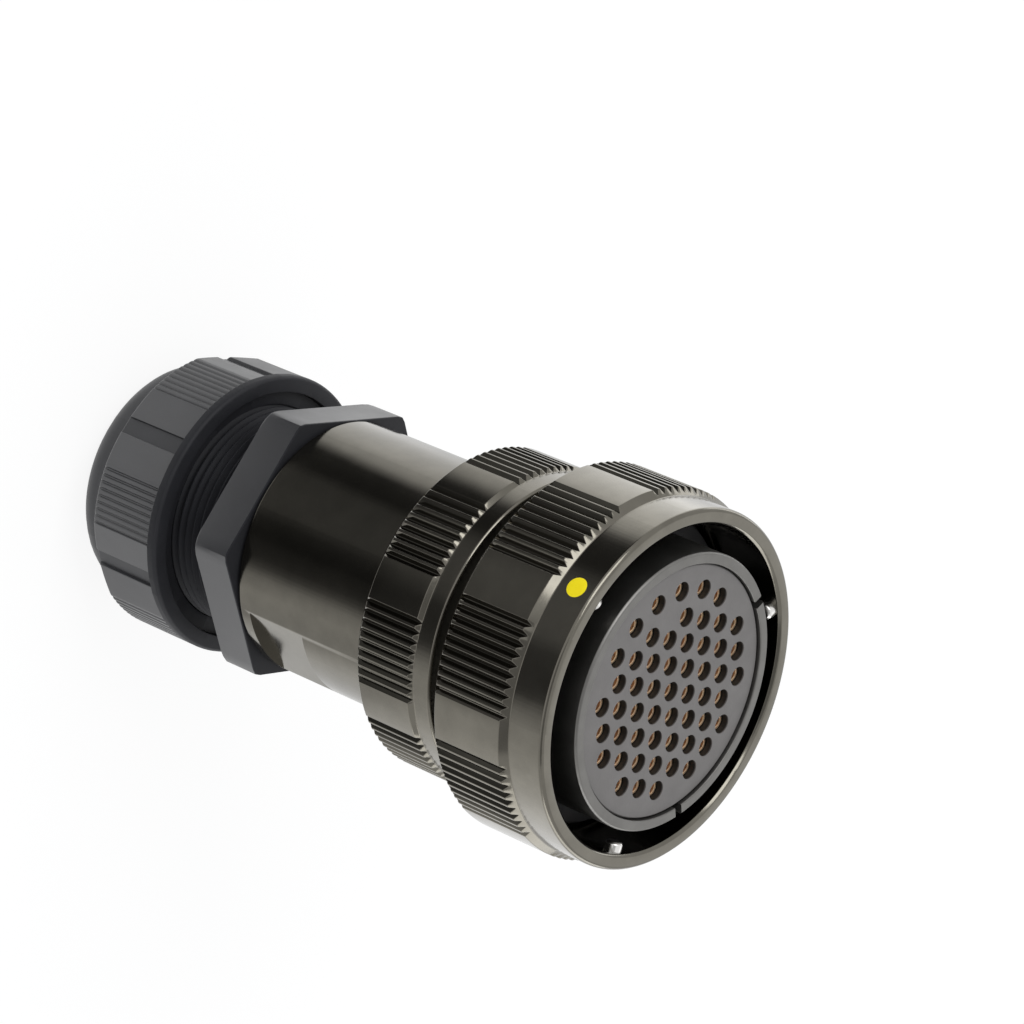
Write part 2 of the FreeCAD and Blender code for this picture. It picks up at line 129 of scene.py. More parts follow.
class ShellSizes(bpy.types.PropertyGroup):
    """The plug shell, its keyways and the face seal."""
    radius: length("Radius", 22.2, "Outer radius of the mating tube")
    bore: length("Bore", 20.4, "Inner radius of the mating tube")
    rear_bore: length("Rear bore", 19.4, "Inner radius behind the front insert")
    flange_radius: length("Flange radius", 25.5, "Radius of the flange that the spring rests on")
    flange_length: length("Flange length", 2.0, "Thickness of the flange")
    bearing_radius: length("Bearing radius", 22.4, "Radius that the coupling ring turns on")
    key_width: length("Keyway width", 1.4, "Width of a keyway")
    key_length: length("Keyway length", 8.0, "Length of a keyway")
    key_turn: turn("Main keyway", 294.4, "Direction of the main keyway")
    side_key_turn: turn("Side keyway", 41.6, "Direction of the side keyway")
    edge: length("Edge", 0.3, "Chamfer of the front edge")
    spring_gap: length("Spring gap", 0.4, "Room between the wave spring and what it goes round")
    spring_strip: length("Spring strip", 0.5, "Thickness of the wave spring")
    spring_waves: number("Spring waves", 4, "Waves of the wave spring")
    spring_travel: length("Spring travel", 1.0, "How far the coupling ring can float forward")


class ContactSizes(bpy.types.PropertyGroup):
    """The 54 socket contacts and the hole pattern."""
    pitch: length("Pitch", 4.467, "Distance between neighbouring holes")
    pattern_turn: turn("Pattern turn", -6.9, "Direction of the hole rows")
    reach: length("Reach", 16.4, "Radius that holds the lattice's holes")
    inner_reach: length("Inner reach", 13.0, "Radius of the lattice behind the outer arc")
    arc_radius: length("Arc radius", 16.25, "Radius of the outer arc of holes")
    arc_turn: turn("Arc turn", 121.6, "Middle direction of the outer arc")
    arc_step: turn("Arc step", 18.9, "Angle between the outer arc's holes")
    arc_holes: number("Arc holes", 5, "Holes on the outer arc")
    sink: length("Sink", 1.2, "Depth of a contact's mouth below the face")
    radius: length("Radius", 1.42, "Outer radius of a contact")
    bore: length("Bore", 0.92, "Radius of a contact's socket")
    depth: length("Depth", 6.5, "Depth of a contact's socket")


class BellSizes(bpy.types.PropertyGroup):
    """The endbell: grip, plain band and barrel."""
    radius: length("Radius", 26.3, "Outer radius of the grip")
    grip_length: length("Grip length", 11.8, "Length of the grip")
    band_radius: length("Band radius", 25.6, "Radius of the plain front band")
    band_length: length("Band length", 3.3, "Length of the plain front band")
    rear_chamfer: length("Rear chamfer", 1.0, "Chamfer at the rear of the grip")
    front_chamfer: length("Front chamfer", 0.6, "Chamfer at the front of the grip")
    land_turn: turn("Land turn", 122.9, "Direction of the first plain land")
    land_angle: turn("Land angle", 14.3, "Width of a plain land")
    grooves: number("Grooves", 9, "Grooves in each panel")
    barrel_radius: length("Barrel radius", 20.9, "Outer radius of the barrel")
    barrel_length: length("Barrel length", 30.7, "Length of the barrel")
    barrel_chamfer: length("Barrel chamfer", 0.6, "Chamfer at the barrel's rear")
    barrel_bore: length("Barrel bore", 18.2, "Inner radius of the barrel")
    mouth_bore: length("Mouth bore", 17.65, "Radius of the bore that takes the gland")
    mouth_length: length("Mouth length", 11.0, "Length of the bore that takes the gland")
    front_bore: length("Front bore", 22.05, "Radius of the bore that takes the shell")
    front_depth: length("Front depth", 9.1, "Depth of the bore that takes the shell")
    flat_width: length("Flat half width", 19.56, "Distance of a spanner flat from the axis")
    flat_rim: length("Flat rim", 2.5, "Round rim left behind the flats")
    flat_length: length("Flat length", 11.5, "Length of the spanner flats")
    flat_turn: turn("Flat turn", 229.7, "Direction of the first spanner flat")


class GlandSizes(bpy.types.PropertyGroup):
    """The gland body: hexagon, threads and clamping fingers."""
    flats: length("Across flats", 41.8, "Hexagon size across its flats")
    hex_length: length("Hexagon length", 7.2, "Length of the hexagon")
    hex_turn: turn("Hexagon turn", 4.3, "Direction of the first corner")
    hex_chamfer: length("Hexagon chamfer", 0.8, "Chamfer of the hexagon's corners")
    neck_radius: length("Neck radius", 17.6, "Radius of the thread inside the endbell")
    thread_radius: length("Thread radius", 18.2, "Crest radius of the nut's thread")
    thread_pitch: length("Thread pitch", 1.5, "Pitch of the nut's thread")
    thread_depth: length("Thread depth", 0.85, "Depth of the nut's thread")
    bore: length("Bore", 14.0, "Radius of the way through")
    seat: length("Seat", 14.35, "Radius of the seal's seat")
    finger_length: length("Finger length", 4.2, "Length of the slots between the fingers")
    finger_radius: length("Finger radius", 17.4, "Outer radius of the fingers")
    finger_tip: length("Finger tip", 15.6, "Radius of the fingers' tips")
    fingers: number("Fingers", 12, "Clamping fingers")
    slot_width: length("Slot width", 1.2, "Width of the slots between the fingers")


class NutSizes(bpy.types.PropertyGroup):
    """The gland nut."""
    radius: length("Radius", 23.5, "Radius of the ribbed corners")
    sides: number("Sides", 6, "Ribbed corners, with as many flats between")
    first_corner: turn("First corner", 1.5, "Direction of the first ribbed corner's start")
    flat_angle: turn("Flat angle", 35.0, "Angle that a flat spans")
    channel_angle: turn("Channel angle", 7.6, "Angle that the channel in a flat spans")
    channel_depth: length("Channel depth", 0.5, "Depth of the channel in a flat")
    ribs: number("Ribs", 9, "Ribs on each corner")
    rib_depth: length("Rib depth", 0.3, "Depth between the ribs")
    collar: length("Collar", 1.7, "Length of the round front collar")
    grip_length: length("Grip length", 12.0, "Length of the corners and flats")
    shoulder: length("Shoulder", 2.5, "Length of the sloping shoulder")
    shoulder_radius: length("Shoulder radius", 20.8, "Radius at the shoulder's foot")
    rim_radius: length("Rim radius", 20.0, "Radius of the rounded rear rim")
    rim_flat: length("Rim flat", 15.8, "Radius where the rim meets the floor")
    mouth: length("Mouth", 13.0, "Radius of the cable's way in")
    mouth_edge: length("Mouth edge", 1.2, "Chamfer of the cable's way in")
    floor: length("Floor", 7.5, "Height of the inner floor")
    pocket: length("Pocket", 14.65, "Radius of the washer's pocket")
    cone_low: length("Cone start", 9.5, "Height where the clamping cone starts")
    cone_high: length("Cone end", 13.0, "Height where the clamping cone ends")
    thread_bore: length("Thread bore", 18.25, "Radius of the nut's thread")
    recess: length("Recess", 20.8, "Radius of the front recess")
    recess_depth: length("Recess depth", 1.5, "Depth of the front recess")


class FinishColours(bpy.types.PropertyGroup):
    """The colours of the finishes, as linear values."""
    plating: colour("Black plating", (0.14, 0.132, 0.112), "Black-olive plating of ring and endbell")
    shell: colour("Shell plating", (0.16, 0.157, 0.15), "Dull plating of the mating shell")
    steel: colour("Pin steel", (0.72, 0.71, 0.69), "Turned steel of the bayonet pins")
    spring: colour("Spring steel", (0.42, 0.42, 0.41), "Spring, washers and ferrule")
    paint: colour("Dot paint", (1.0, 0.8, 0.0), "Yellow enamel of the index dot")
    face: colour("Face rubber", (0.16, 0.153, 0.149), "Grey rubber of the front insert")
    insulator: colour("Insulator", (0.05, 0.05, 0.05), "Moulded rear insert")
    contact: colour("Contact plating", (1.0, 0.68, 0.44), "Plated copper alloy of the contacts")
    rubber: colour("Seal rubber", (0.018, 0.018, 0.02), "Black sealing rubber")
    gland: colour("Gland plastic", (0.022, 0.0225, 0.026), "Satin dark grey plastic of the gland")


# Nodes, shared shader groups and the material builder
class Nodes:
    """A short way to add and link nodes in one node tree."""

    def __init__(self, node_tree):
        self.tree = node_tree

    def add(self, kind, inputs=None, **settings):
        node = self.tree.nodes.new(kind)
        for key, value in settings.items():
            setattr(node, key, value)
        for key, value in (inputs or {}).items():
            if isinstance(value, bpy.types.NodeSocket):
                self.tree.links.new(value, node.inputs[key])
            else:
                node.inputs[key].default_value = value
        return node

    def math(self, operation, *values):
        return self.add("ShaderNodeMath", dict(enumerate(values)), operation=operation).outputs[0]

    def group(self, name, inputs):
        return self.add("ShaderNodeGroup", inputs, node_tree=bpy.data.node_groups[name]).outputs[0]

    def object_place(self):
        return self.add("ShaderNodeTexCoord").outputs["Object"]

    def split(self, vector):
        return self.add("ShaderNodeSeparateXYZ", {0: vector}).outputs

    def seen_by_camera_or_gloss(self):
        """1 for what the camera, a reflection or glass sees, 0 for what lights the object."""
        path = self.add("ShaderNodeLightPath").outputs
        return self.math("MAXIMUM", path["Is Camera Ray"], self.math(
            "MAXIMUM", path["Is Glossy Ray"], path["Is Transmission Ray"]))


def fresh_nodes(owner):
    """The emptied node tree of a material or a world."""
    owner.use_nodes = True
    owner.node_tree.nodes.clear()
    return Nodes(owner.node_tree)


def grey(value):
    return (value, value, value, 1.0)


def shader_group(name, inputs, output):
    """A node group with named value inputs and one named output, built once."""
    group = bpy.data.node_groups.new(name, "ShaderNodeTree")
    for label, value in inputs.items():
        socket = group.interface.new_socket(label, in_out="INPUT", socket_type="NodeSocketFloat")
        socket.default_value = value
    group.interface.new_socket(output, in_out="OUTPUT", socket_type="NodeSocketFloat")
    nodes = Nodes(group)
    return nodes, nodes.add("NodeGroupInput").outputs


def turning_marks_group():
    """Fine rings round the axis, as a lathe leaves them."""
    nodes, given = shader_group("turning_marks", {"Rings per metre": 6000.0, "Waver": 0.15}, "Height")
    x, y, z = nodes.split(nodes.object_place())
    across = nodes.math("SQRT", nodes.math(
        "ADD", nodes.math("POWER", x, 2.0), nodes.math("POWER", y, 2.0)))
    around = nodes.math("ARCTAN2", y, x)
    spot = nodes.add("ShaderNodeCombineXYZ", {
        0: nodes.math("MULTIPLY", across, given["Rings per metre"]),
        1: nodes.math("MULTIPLY", around, given["Waver"]),
        2: nodes.math("MULTIPLY", z, given["Rings per metre"]),
    })
    noise = nodes.add("ShaderNodeTexNoise", {"Vector": spot.outputs[0], "Scale": 1.0, "Detail": 2.0})
    nodes.add("NodeGroupOutput", {"Height": noise.outputs[0]})


def grain_group():
    """Fine moulded or cast grain."""
    nodes, given = shader_group("grain", {"Scale": 2500.0, "Detail": 3.0}, "Height")
    noise = nodes.add("ShaderNodeTexNoise", {
        "Vector": nodes.object_place(), "Scale": given["Scale"], "Detail": given["Detail"]})
    nodes.add("NodeGroupOutput", {"Height": noise.outputs[0]})


def patches_group():
    """Soft patches of handling and of uneven plating, between two values."""
    nodes, given = shader_group("patches", {"Scale": 120.0, "Low": 0.2, "High": 0.3}, "Value")
    noise = nodes.add("ShaderNodeTexNoise", {
        "Vector": nodes.object_place(), "Scale": given["Scale"], "Detail": 4.0, "Roughness": 0.6})
    spread = nodes.add("ShaderNodeMapRange", {
        "Value": noise.outputs[0], "From Min": 0.3, "From Max": 0.7,
        "To Min": given["Low"], "To Max": given["High"]})
    nodes.add("NodeGroupOutput", {"Value": spread.outputs[0]})


def finish(name, base, metallic, roughness, marks=None, grain=None,
           variation=0.12, specular=0.5, painted_shade_below=None):
    """A material: patches change its colour and gloss, turning marks or grain give its bump.

    marks and grain are (rings per metre or scale, strength, depth in metres). Below the
    height given for painted shade the finish is nearly black: painted shade, as inside the insert's holes."""
    if name in bpy.data.materials:
        raise RuntimeError(name + " is a material of the frame")
    material = bpy.data.materials.new(name)
    nodes = fresh_nodes(material)
    gloss_patches, colour_patches = 120.0, 276.0
    low, high = roughness
    gloss = nodes.group("patches", {"Scale": gloss_patches, "Low": low, "High": high})
    shade = nodes.group("patches", {"Scale": colour_patches, "Low": 0.0, "High": 1.0})
    darker = (*[part * (1 - variation) for part in base], 1.0)
    lighter = (*[min(1.0, part * (1 + variation)) for part in base], 1.0)
    paint = nodes.add("ShaderNodeMix", {0: shade, 6: darker, 7: lighter}, data_type="RGBA").outputs[2]
    # Painted shade: below this height, inside the insert's holes, the colour turns nearly black.
    if painted_shade_below:
        soft_edge, shade_share = 0.0002, 0.05
        height = nodes.split(nodes.object_place())[2]
        above = nodes.add("ShaderNodeMapRange", {
            "Value": height, "From Min": painted_shade_below - soft_edge, "From Max": painted_shade_below})
        black = (*[part * shade_share for part in base], 1.0)
        paint = nodes.add("ShaderNodeMix", {
            0: above.outputs[0], 6: black, 7: paint}, data_type="RGBA").outputs[2]
    shader = nodes.add("ShaderNodeBsdfPrincipled", {
        "Base Color": paint, "Roughness": gloss, "Metallic": metallic, "Specular IOR Level": specular})
    scale, strength, depth = marks or grain
    if marks:
        height = nodes.group("turning_marks", {"Rings per metre": scale})
    else:
        height = nodes.group("grain", {"Scale": scale})
    bump = nodes.add("ShaderNodeBump", {"Height": height, "Strength": strength, "Distance": depth})
    nodes.tree.links.new(bump.outputs[0], shader.inputs["Normal"])
    nodes.add("ShaderNodeOutputMaterial", {0: shader.outputs[0]})


# Mesh tools
def eased(profile):
    """A closed outline of (radius, height, easing) with each corner as three points, always."""
    longest_share = 0.45
    points = []
    for index, (radius, height, ease) in enumerate(profile):
        corner = Vector((radius, height))
        sides = []
        for neighbour in (profile[index - 1], profile[(index + 1) % len(profile)]):
            away = Vector(neighbour[:2]) - corner
            reach = min(ease, away.length * longest_share)
            sides.append(corner + away.normalized() * reach if away.length > 1e-9 else corner.copy())
        points += [sides[0], (sides[0] + sides[1]) / 4 + corner / 2, sides[1]]
    return [tuple(point) for point in points]


def polar(radius, angle, height):
    return (radius * math.cos(angle), radius * math.sin(angle), height)


def mesh_of(name, verts, faces):
    mesh = bpy.data.meshes.new(name)
    mesh.from_pydata(verts, [], faces)
    return mesh


def column_points(columns):
    """The points of (angle, outline) columns round the axis."""
    return [polar(radius, angle, height) for angle, outline in columns for radius, height in outline]


def ring_mesh(name, columns, closed=True):
    """A mesh from (angle, outline) columns, whose outlines are closed."""
    rows = len(columns[0][1])
    faces = []
    for index in range(len(columns) if closed else len(columns) - 1):
        here, there = index * rows, (index + 1) % len(columns) * rows
        for row in range(rows):
            above = (row + 1) % rows
            faces.append((here + row, there + row, there + above, here + above))
    return mesh_of(name, column_points(columns), faces)


def lathe(name, profile, segments):
    """A turned solid from a closed outline of (radius, height, easing)."""
    outline = eased(profile)
    return ring_mesh(name, [(FULL_TURN * step / segments, outline) for step in range(segments)])


def add_object(name, data):
    """A new object in the scene."""
    thing = bpy.data.objects.new(name, data)
    bpy.context.scene.collection.objects.link(thing)
    return thing


def baked(carrier):
    """The mesh of a carrier with its modifiers applied; the carrier is removed."""
    bpy.context.view_layer.update()
    evaluated = carrier.evaluated_get(bpy.context.evaluated_depsgraph_get())
    mesh = bpy.data.meshes.new_from_object(evaluated)
    carrier.modifiers.clear()
    bpy.data.objects.remove(carrier)
    return mesh


def cut_away(mesh, cutters):
    """The mesh less a few closed cutter meshes."""
    carrier = add_object("carrier", mesh)
    tools = [add_object("cutter", cutter) for cutter in cutters]
    for tool in tools:
        modifier = carrier.modifiers.new("cut", "BOOLEAN")
        modifier.object = tool
        modifier.operation = "DIFFERENCE"
        modifier.solver = "EXACT"
    result = baked(carrier)
    for tool in tools:
        bpy.data.objects.remove(tool)
    return result


def bar(width, inner, outer, low, high, angle):
    """A box that runs outward along a radius."""
    half = width / 2
    spin = Matrix.Rotation(angle, 3, "Z")
    corners = [spin @ Vector((x, y, z)) for z in (low, high) for x, y in (
        (inner, -half), (outer, -half), (outer, half), (inner, half))]
    return mesh_of("bar", corners, [
        (3, 2, 1, 0), (4, 5, 6, 7), (0, 1, 5, 4), (1, 2, 6, 5), (2, 3, 7, 6), (3, 0, 4, 7)])


def joined(name, meshes):
    """Several meshes as one."""
    verts, faces = [], []
    for mesh in meshes:
        start = len(verts)
        verts.extend(vertex.co.copy() for vertex in mesh.vertices)
        faces.extend([start + index for index in polygon.vertices] for polygon in mesh.polygons)
    return mesh_of(name, verts, faces)


def dress(name, mesh, material, slot, body, *cad_nodes, sharp=38.0):
    """A finished piece: smooth shading led by its large faces, its material and its body; the slot is not
    used.
    """
    mesh.materials.clear()
    mesh.materials.append(bpy.data.materials[material])
    mesh.polygons.foreach_set("material_index", [0] * len(mesh.polygons))
    mesh.polygons.foreach_set("use_smooth", [True] * len(mesh.polygons))
    mesh.set_sharp_from_angle(angle=math.radians(sharp))
    carrier = add_object("carrier", mesh)
    carrier.modifiers.new("normals", "WEIGHTED_NORMAL").keep_sharp = True
    mesh = baked(carrier)
    mesh.name = name
    piece = add_object(name, mesh)
    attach(piece, body)
    if cad_nodes:
        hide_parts(*cad_nodes)
    return piece


def refinish(piece, material, chosen):
    """The faces of a piece whose centre passes a test get a second material."""
    mesh = piece.data
    mesh.materials.append(bpy.data.materials[material])
    second = len(mesh.materials) - 1
    for polygon in mesh.polygons:
        if chosen(polygon.center):
            polygon.material_index = second


def paint_node(node, material):
    """A CAD node that keeps its shape gets its finish."""
    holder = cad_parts[node]
    if not holder.material_slots:
        raise RuntimeError(node + " has no material slot")
    for place in holder.material_slots:
        place.material = bpy.data.materials[material]


# Geometry node trees
def geometry_tree(name, inputs):
    """A geometry tree with a mesh input, named inputs, a material and one output."""
    group = bpy.data.node_groups.new(name, "GeometryNodeTree")
    group.interface.new_socket("Geometry", in_out="INPUT", socket_type="NodeSocketGeometry")
    for label, kind in inputs.items():
        group.interface.new_socket(label, in_out="INPUT", socket_type=kind)
    group.interface.new_socket("Material", in_out="INPUT", socket_type="NodeSocketMaterial")
    group.interface.new_socket("Geometry", in_out="OUTPUT", socket_type="NodeSocketGeometry")
    nodes = Nodes(group)
    return nodes, nodes.add("NodeGroupInput").outputs


def end_tree(nodes, given, geometry):
    """The tree's last step: its material, and its output."""
    painted = nodes.add("GeometryNodeSetMaterial", {"Geometry": geometry, "Material": given["Material"]})
    nodes.add("NodeGroupOutput", {0: painted.outputs[0]})


def repeat_round_tree():
    """Copies of one sector round the axis, joined along their seams."""
    nodes, given = geometry_tree("repeat_round", {
        "Count": "NodeSocketInt", "Merge distance": "NodeSocketFloat"})
    points = nodes.add("GeometryNodePoints", {"Count": given["Count"]})
    index = nodes.add("GeometryNodeInputIndex")
    share = nodes.math("DIVIDE", FULL_TURN, given["Count"])
    angle = nodes.math("MULTIPLY", index.outputs[0], share)
    euler = nodes.add("ShaderNodeCombineXYZ", {2: angle})
    rotation = nodes.add("FunctionNodeEulerToRotation", {0: euler.outputs[0]})
    copies = nodes.add("GeometryNodeInstanceOnPoints", {
        "Points": points.outputs[0], "Instance": given["Geometry"], "Rotation": rotation.outputs[0]})
    real = nodes.add("GeometryNodeRealizeInstances", {0: copies.outputs[0]})
    merged = nodes.add("GeometryNodeMergeByDistance", {
        "Geometry": real.outputs[0], "Distance": given["Merge distance"]})
    end_tree(nodes, given, merged.outputs[0])


def place_on_points_tree():
    """One object's mesh at each vertex of the carrier."""
    nodes, given = geometry_tree("place_on_points", {"Piece": "NodeSocketObject"})
    piece = nodes.add("GeometryNodeObjectInfo", {"Object": given["Piece"]})
    copies = nodes.add("GeometryNodeInstanceOnPoints", {
        "Points": given["Geometry"], "Instance": piece.outputs["Geometry"]})
    real = nodes.add("GeometryNodeRealizeInstances", {0: copies.outputs[0]})
    end_tree(nodes, given, real.outputs[0])


def through_tree(mesh, tree, values):
    """The mesh that a geometry tree makes of a mesh."""
    carrier = add_object("carrier", mesh)
    modifier = carrier.modifiers.new("shape", "NODES")
    group = bpy.data.node_groups[tree]
    modifier.node_group = group
    for item in group.interface.items_tree:
        if item.in_out == "INPUT" and item.name in values:
            modifier[item.identifier] = values[item.name]
    return baked(carrier)


def repeated(mesh, count, material):
    """A sector repeated round the axis by the geometry tree."""
    seam_gap = 2e-6
    return through_tree(mesh, "repeat_round", {
        "Count": count, "Merge distance": seam_gap, "Material": bpy.data.materials[material]})


# Grips: one panel is a land and its grooves, and the tree repeats it
def panel_columns(radius, land_turn, land_angle, grooves, grip):
    """(angle, depth share) columns across one panel, with eased groove edges, from land to seam."""
    land_steps = 6
    half = grip.groove_width / 2 / radius
    start = land_turn - land_angle / 2
    span = FULL_TURN / grip.panels
    columns = [(start + land_angle * step / land_steps, 0.0) for step in range(land_steps)]
    reach = 1.08
    first = start + land_angle + reach * half
    pitch = (span - land_angle - 2 * reach * half) / (grooves - 1)
    across = ((-reach, 0.0), (-0.9, 0.07), (-0.1, 0.9), (0.1, 0.9), (0.9, 0.07), (reach, 0.0))
    for groove in range(grooves):
        columns.extend((first + groove * pitch + offset * half, depth) for offset, depth in across)
    return columns


def grip_side(radius, depth, low, chamfer, stop, high, high_radius, high_run, ease):
    """The grip's outline at one column, from the rear edge to the front band."""
    cut = radius - depth
    low_radius = radius - chamfer
    run_out = min(1.0, depth / (radius - high_radius)) if radius > high_radius else 0.0
    return [
        (low_radius, low, ease),
        (low_radius + stop, low + stop, 0.0),
        (min(low_radius + stop, cut), low + stop, 0.0),
        (cut, low + max(stop, chamfer - depth), ease),
        (max(cut, high_radius), high - high_run * (1 - run_out), ease),
        (high_radius, high, ease),
    ]


class MakeFinishes(bpy.types.Operator):
    """Build the shared shader groups, the geometry trees and every material"""
    bl_idname = "cable_socket.finishes"
    bl_label = "Finishes"

    def execute(self, context):
        colours = context.scene.socket_colours
        turning_marks_group()
        grain_group()
        patches_group()
        repeat_round_tree()
        place_on_points_tree()
        finish("black_plating", colours.plating, 1.0, (0.12, 0.18),
               marks=(5200.0, 0.08, 0.00002), variation=0.08)
        finish("dull_plating", colours.shell, 1.0, (0.36, 0.46),
               marks=(3500.0, 0.2, 0.00003), variation=0.08)
        finish("turned_steel", colours.steel, 1.0, (0.2, 0.28),
               grain=(3000.0, 0.03, 0.00002), variation=0.05)
        finish("rolled_steel", colours.spring, 1.0, (0.3, 0.42), grain=(1800.0, 0.15, 0.00003))
        finish("yellow_enamel", colours.paint, 0.0, (0.45, 0.55),
               grain=(900.0, 0.2, 0.00005), variation=0.04, specular=0.25)
        # The grey face gets painted shade, nearly black, inside its holes.
        finish("grey_face", colours.face, 0.0, (0.5, 0.62),
               grain=(2200.0, 0.3, 0.00006), variation=0.07, painted_shade_below=insert_high - 0.00008)
        finish("moulded_insulator", colours.insulator, 0.0, (0.4, 0.55), grain=(1500.0, 0.2, 0.00004))
        finish("contact_plating", colours.contact, 1.0, (0.42, 0.52), marks=(7000.0, 0.1, 0.00001))
        finish("black_rubber", colours.rubber, 0.0, (0.5, 0.65), grain=(2000.0, 0.25, 0.00005))
        # The satin plastic and two darker copies: the middle one for the nut's channels, which are less
        # glossy, and as painted shade on its rear rim; the darkest as painted shade on the threads, the
        # collar and inside the nut.
        for name, roughness, specular in (
                ("satin_plastic", (0.3, 0.38), 1.0),
                ("dull_plastic", (0.38, 0.46), 0.55),
                ("matt_plastic", (0.46, 0.54), 0.18)):
            finish(name, colours.gland, 0.0, roughness,
                   grain=(2600.0, 0.12, 0.00003), variation=0.08, specular=specular)
        return {"FINISHED"}


class MakeCouplingRing(bpy.types.Operator):
    """Build the grooved coupling ring"""
    bl_idname = "cable_socket.coupling_ring"
    bl_label = "Coupling ring"

    def execute(self, context):
        ring = context.scene.socket_ring
        grip = context.scene.socket_grip
        band_low = ring_high - ring.band_length
        chamfer = ring.radius - ring.band_radius
        web = ring_low + ring.web_length
        columns = []
        for angle, share in panel_columns(ring.radius, ring.land_turn, ring.land_angle, ring.grooves, grip):
            outer = grip_side(
                ring.radius, grip.groove_depth * share, ring_low, ring.rear_chamfer, grip.rear_stop,
                band_low, ring.band_radius, chamfer, grip.edge)
            outline = outer + [
                (ring.band_radius, band_low + grip.edge * 3, 0.0),
                (ring.band_radius, ring_high - ring.front_chamfer, grip.edge * 2),
                (ring.band_radius - ring.front_chamfer, ring_high, grip.edge * 2),
                (ring.bore + ring.front_chamfer, ring_high, grip.edge),
                (ring.bore, ring_high - ring.front_chamfer, grip.edge),
                (ring.bore, web, grip.edge),
                (ring.web_bore, web, grip.edge),
                (ring.web_bore, ring_low, grip.edge),
            ]
            columns.append((angle, eased(outline)))
        sector = ring_mesh("ring_panel", columns, closed=False)
        mesh = repeated(sector, grip.panels, "black_plating")
        dress("coupling_ring_turned", mesh, "black_plating", "ring_plating", "ring", "coupling_ring")
        return {"FINISHED"}


class MakeBayonetPins(bpy.types.Operator):
    """Build the three bayonet pins with rounded tips, and the index dot"""
    bl_idname = "cable_socket.bayonet_pins"
    bl_label = "Bayonet pins and index dot"

    def execute(self, context):
        ring = context.scene.socket_ring
        height = ring_high - ring.pin_depth
        tip = ring.bore - ring.pin_reach
        root = ring.bore + ring.pin_radius
        edge = ring.pin_radius * 0.3
        profile = [
            (AXIS_GAP, root, 0.0),
            (AXIS_GAP, tip, 0.0),
            (ring.pin_radius - edge, tip, edge * 0.4),
            (ring.pin_radius, tip + edge, edge * 0.4),
            (ring.pin_radius, root, 0.0),
        ]
        lift = Matrix.Translation((0, 0, height))
        lay = Matrix.Rotation(math.pi / 2, 4, "Y")
        for index in range(3):
            pin = lathe("pin", profile, 40)
            pin.transform(lift @ Matrix.Rotation(ring.pin_turn + index * FULL_TURN / 3, 4, "Z") @ lay)
            node = "bayonet_pin_%d" % (index + 1)
            dress(node + "_turned", pin, "turned_steel", "pin_steel", "ring", node)
        self.paint_dot(ring, ring_high - ring.dot_depth)
        return {"FINISHED"}

    def paint_dot(self, ring, height):
        """A slightly domed spot of enamel that follows the band's curve."""
        rings, segments = 8, 48
        crown, sunk, smallest = 0.00006, -0.0002, 0.001
        centre = ring.pin_turn + FULL_TURN / 3
        verts = []
        for layer in (crown, sunk):
            for step in range(rings + 1):
                share = step / rings
                lift = layer * (1 - share ** 6) if layer > 0 else layer
                spread = max(share, smallest) * ring.dot_radius
                for segment in range(segments):
                    way = FULL_TURN * segment / segments
                    angle = centre + spread * math.cos(way) / ring.band_radius
                    verts.append(polar(ring.band_radius + lift, angle, height + spread * math.sin(way)))
        block = (rings + 1) * segments
        rim = rings * segments
        faces = []
        for segment in range(segments):
            following = (segment + 1) % segments
            for here in range(0, rim, segments):
                there = here + segments
                faces.append((here + segment, there + segment, there + following, here + following))
                faces.append(tuple(block + index for index in (
                    here + segment, here + following, there + following, there + segment)))
            faces.append((rim + segment, block + rim + segment, block + rim + following, rim + following))
        faces.append(tuple(range(segments)))
        faces.append(tuple(block + segment for segment in reversed(range(segments))))
        mesh = mesh_of("dot", verts, faces)
        dress("index_dot_enamel", mesh, "yellow_enamel", "dot_paint", "ring", "index_dot")


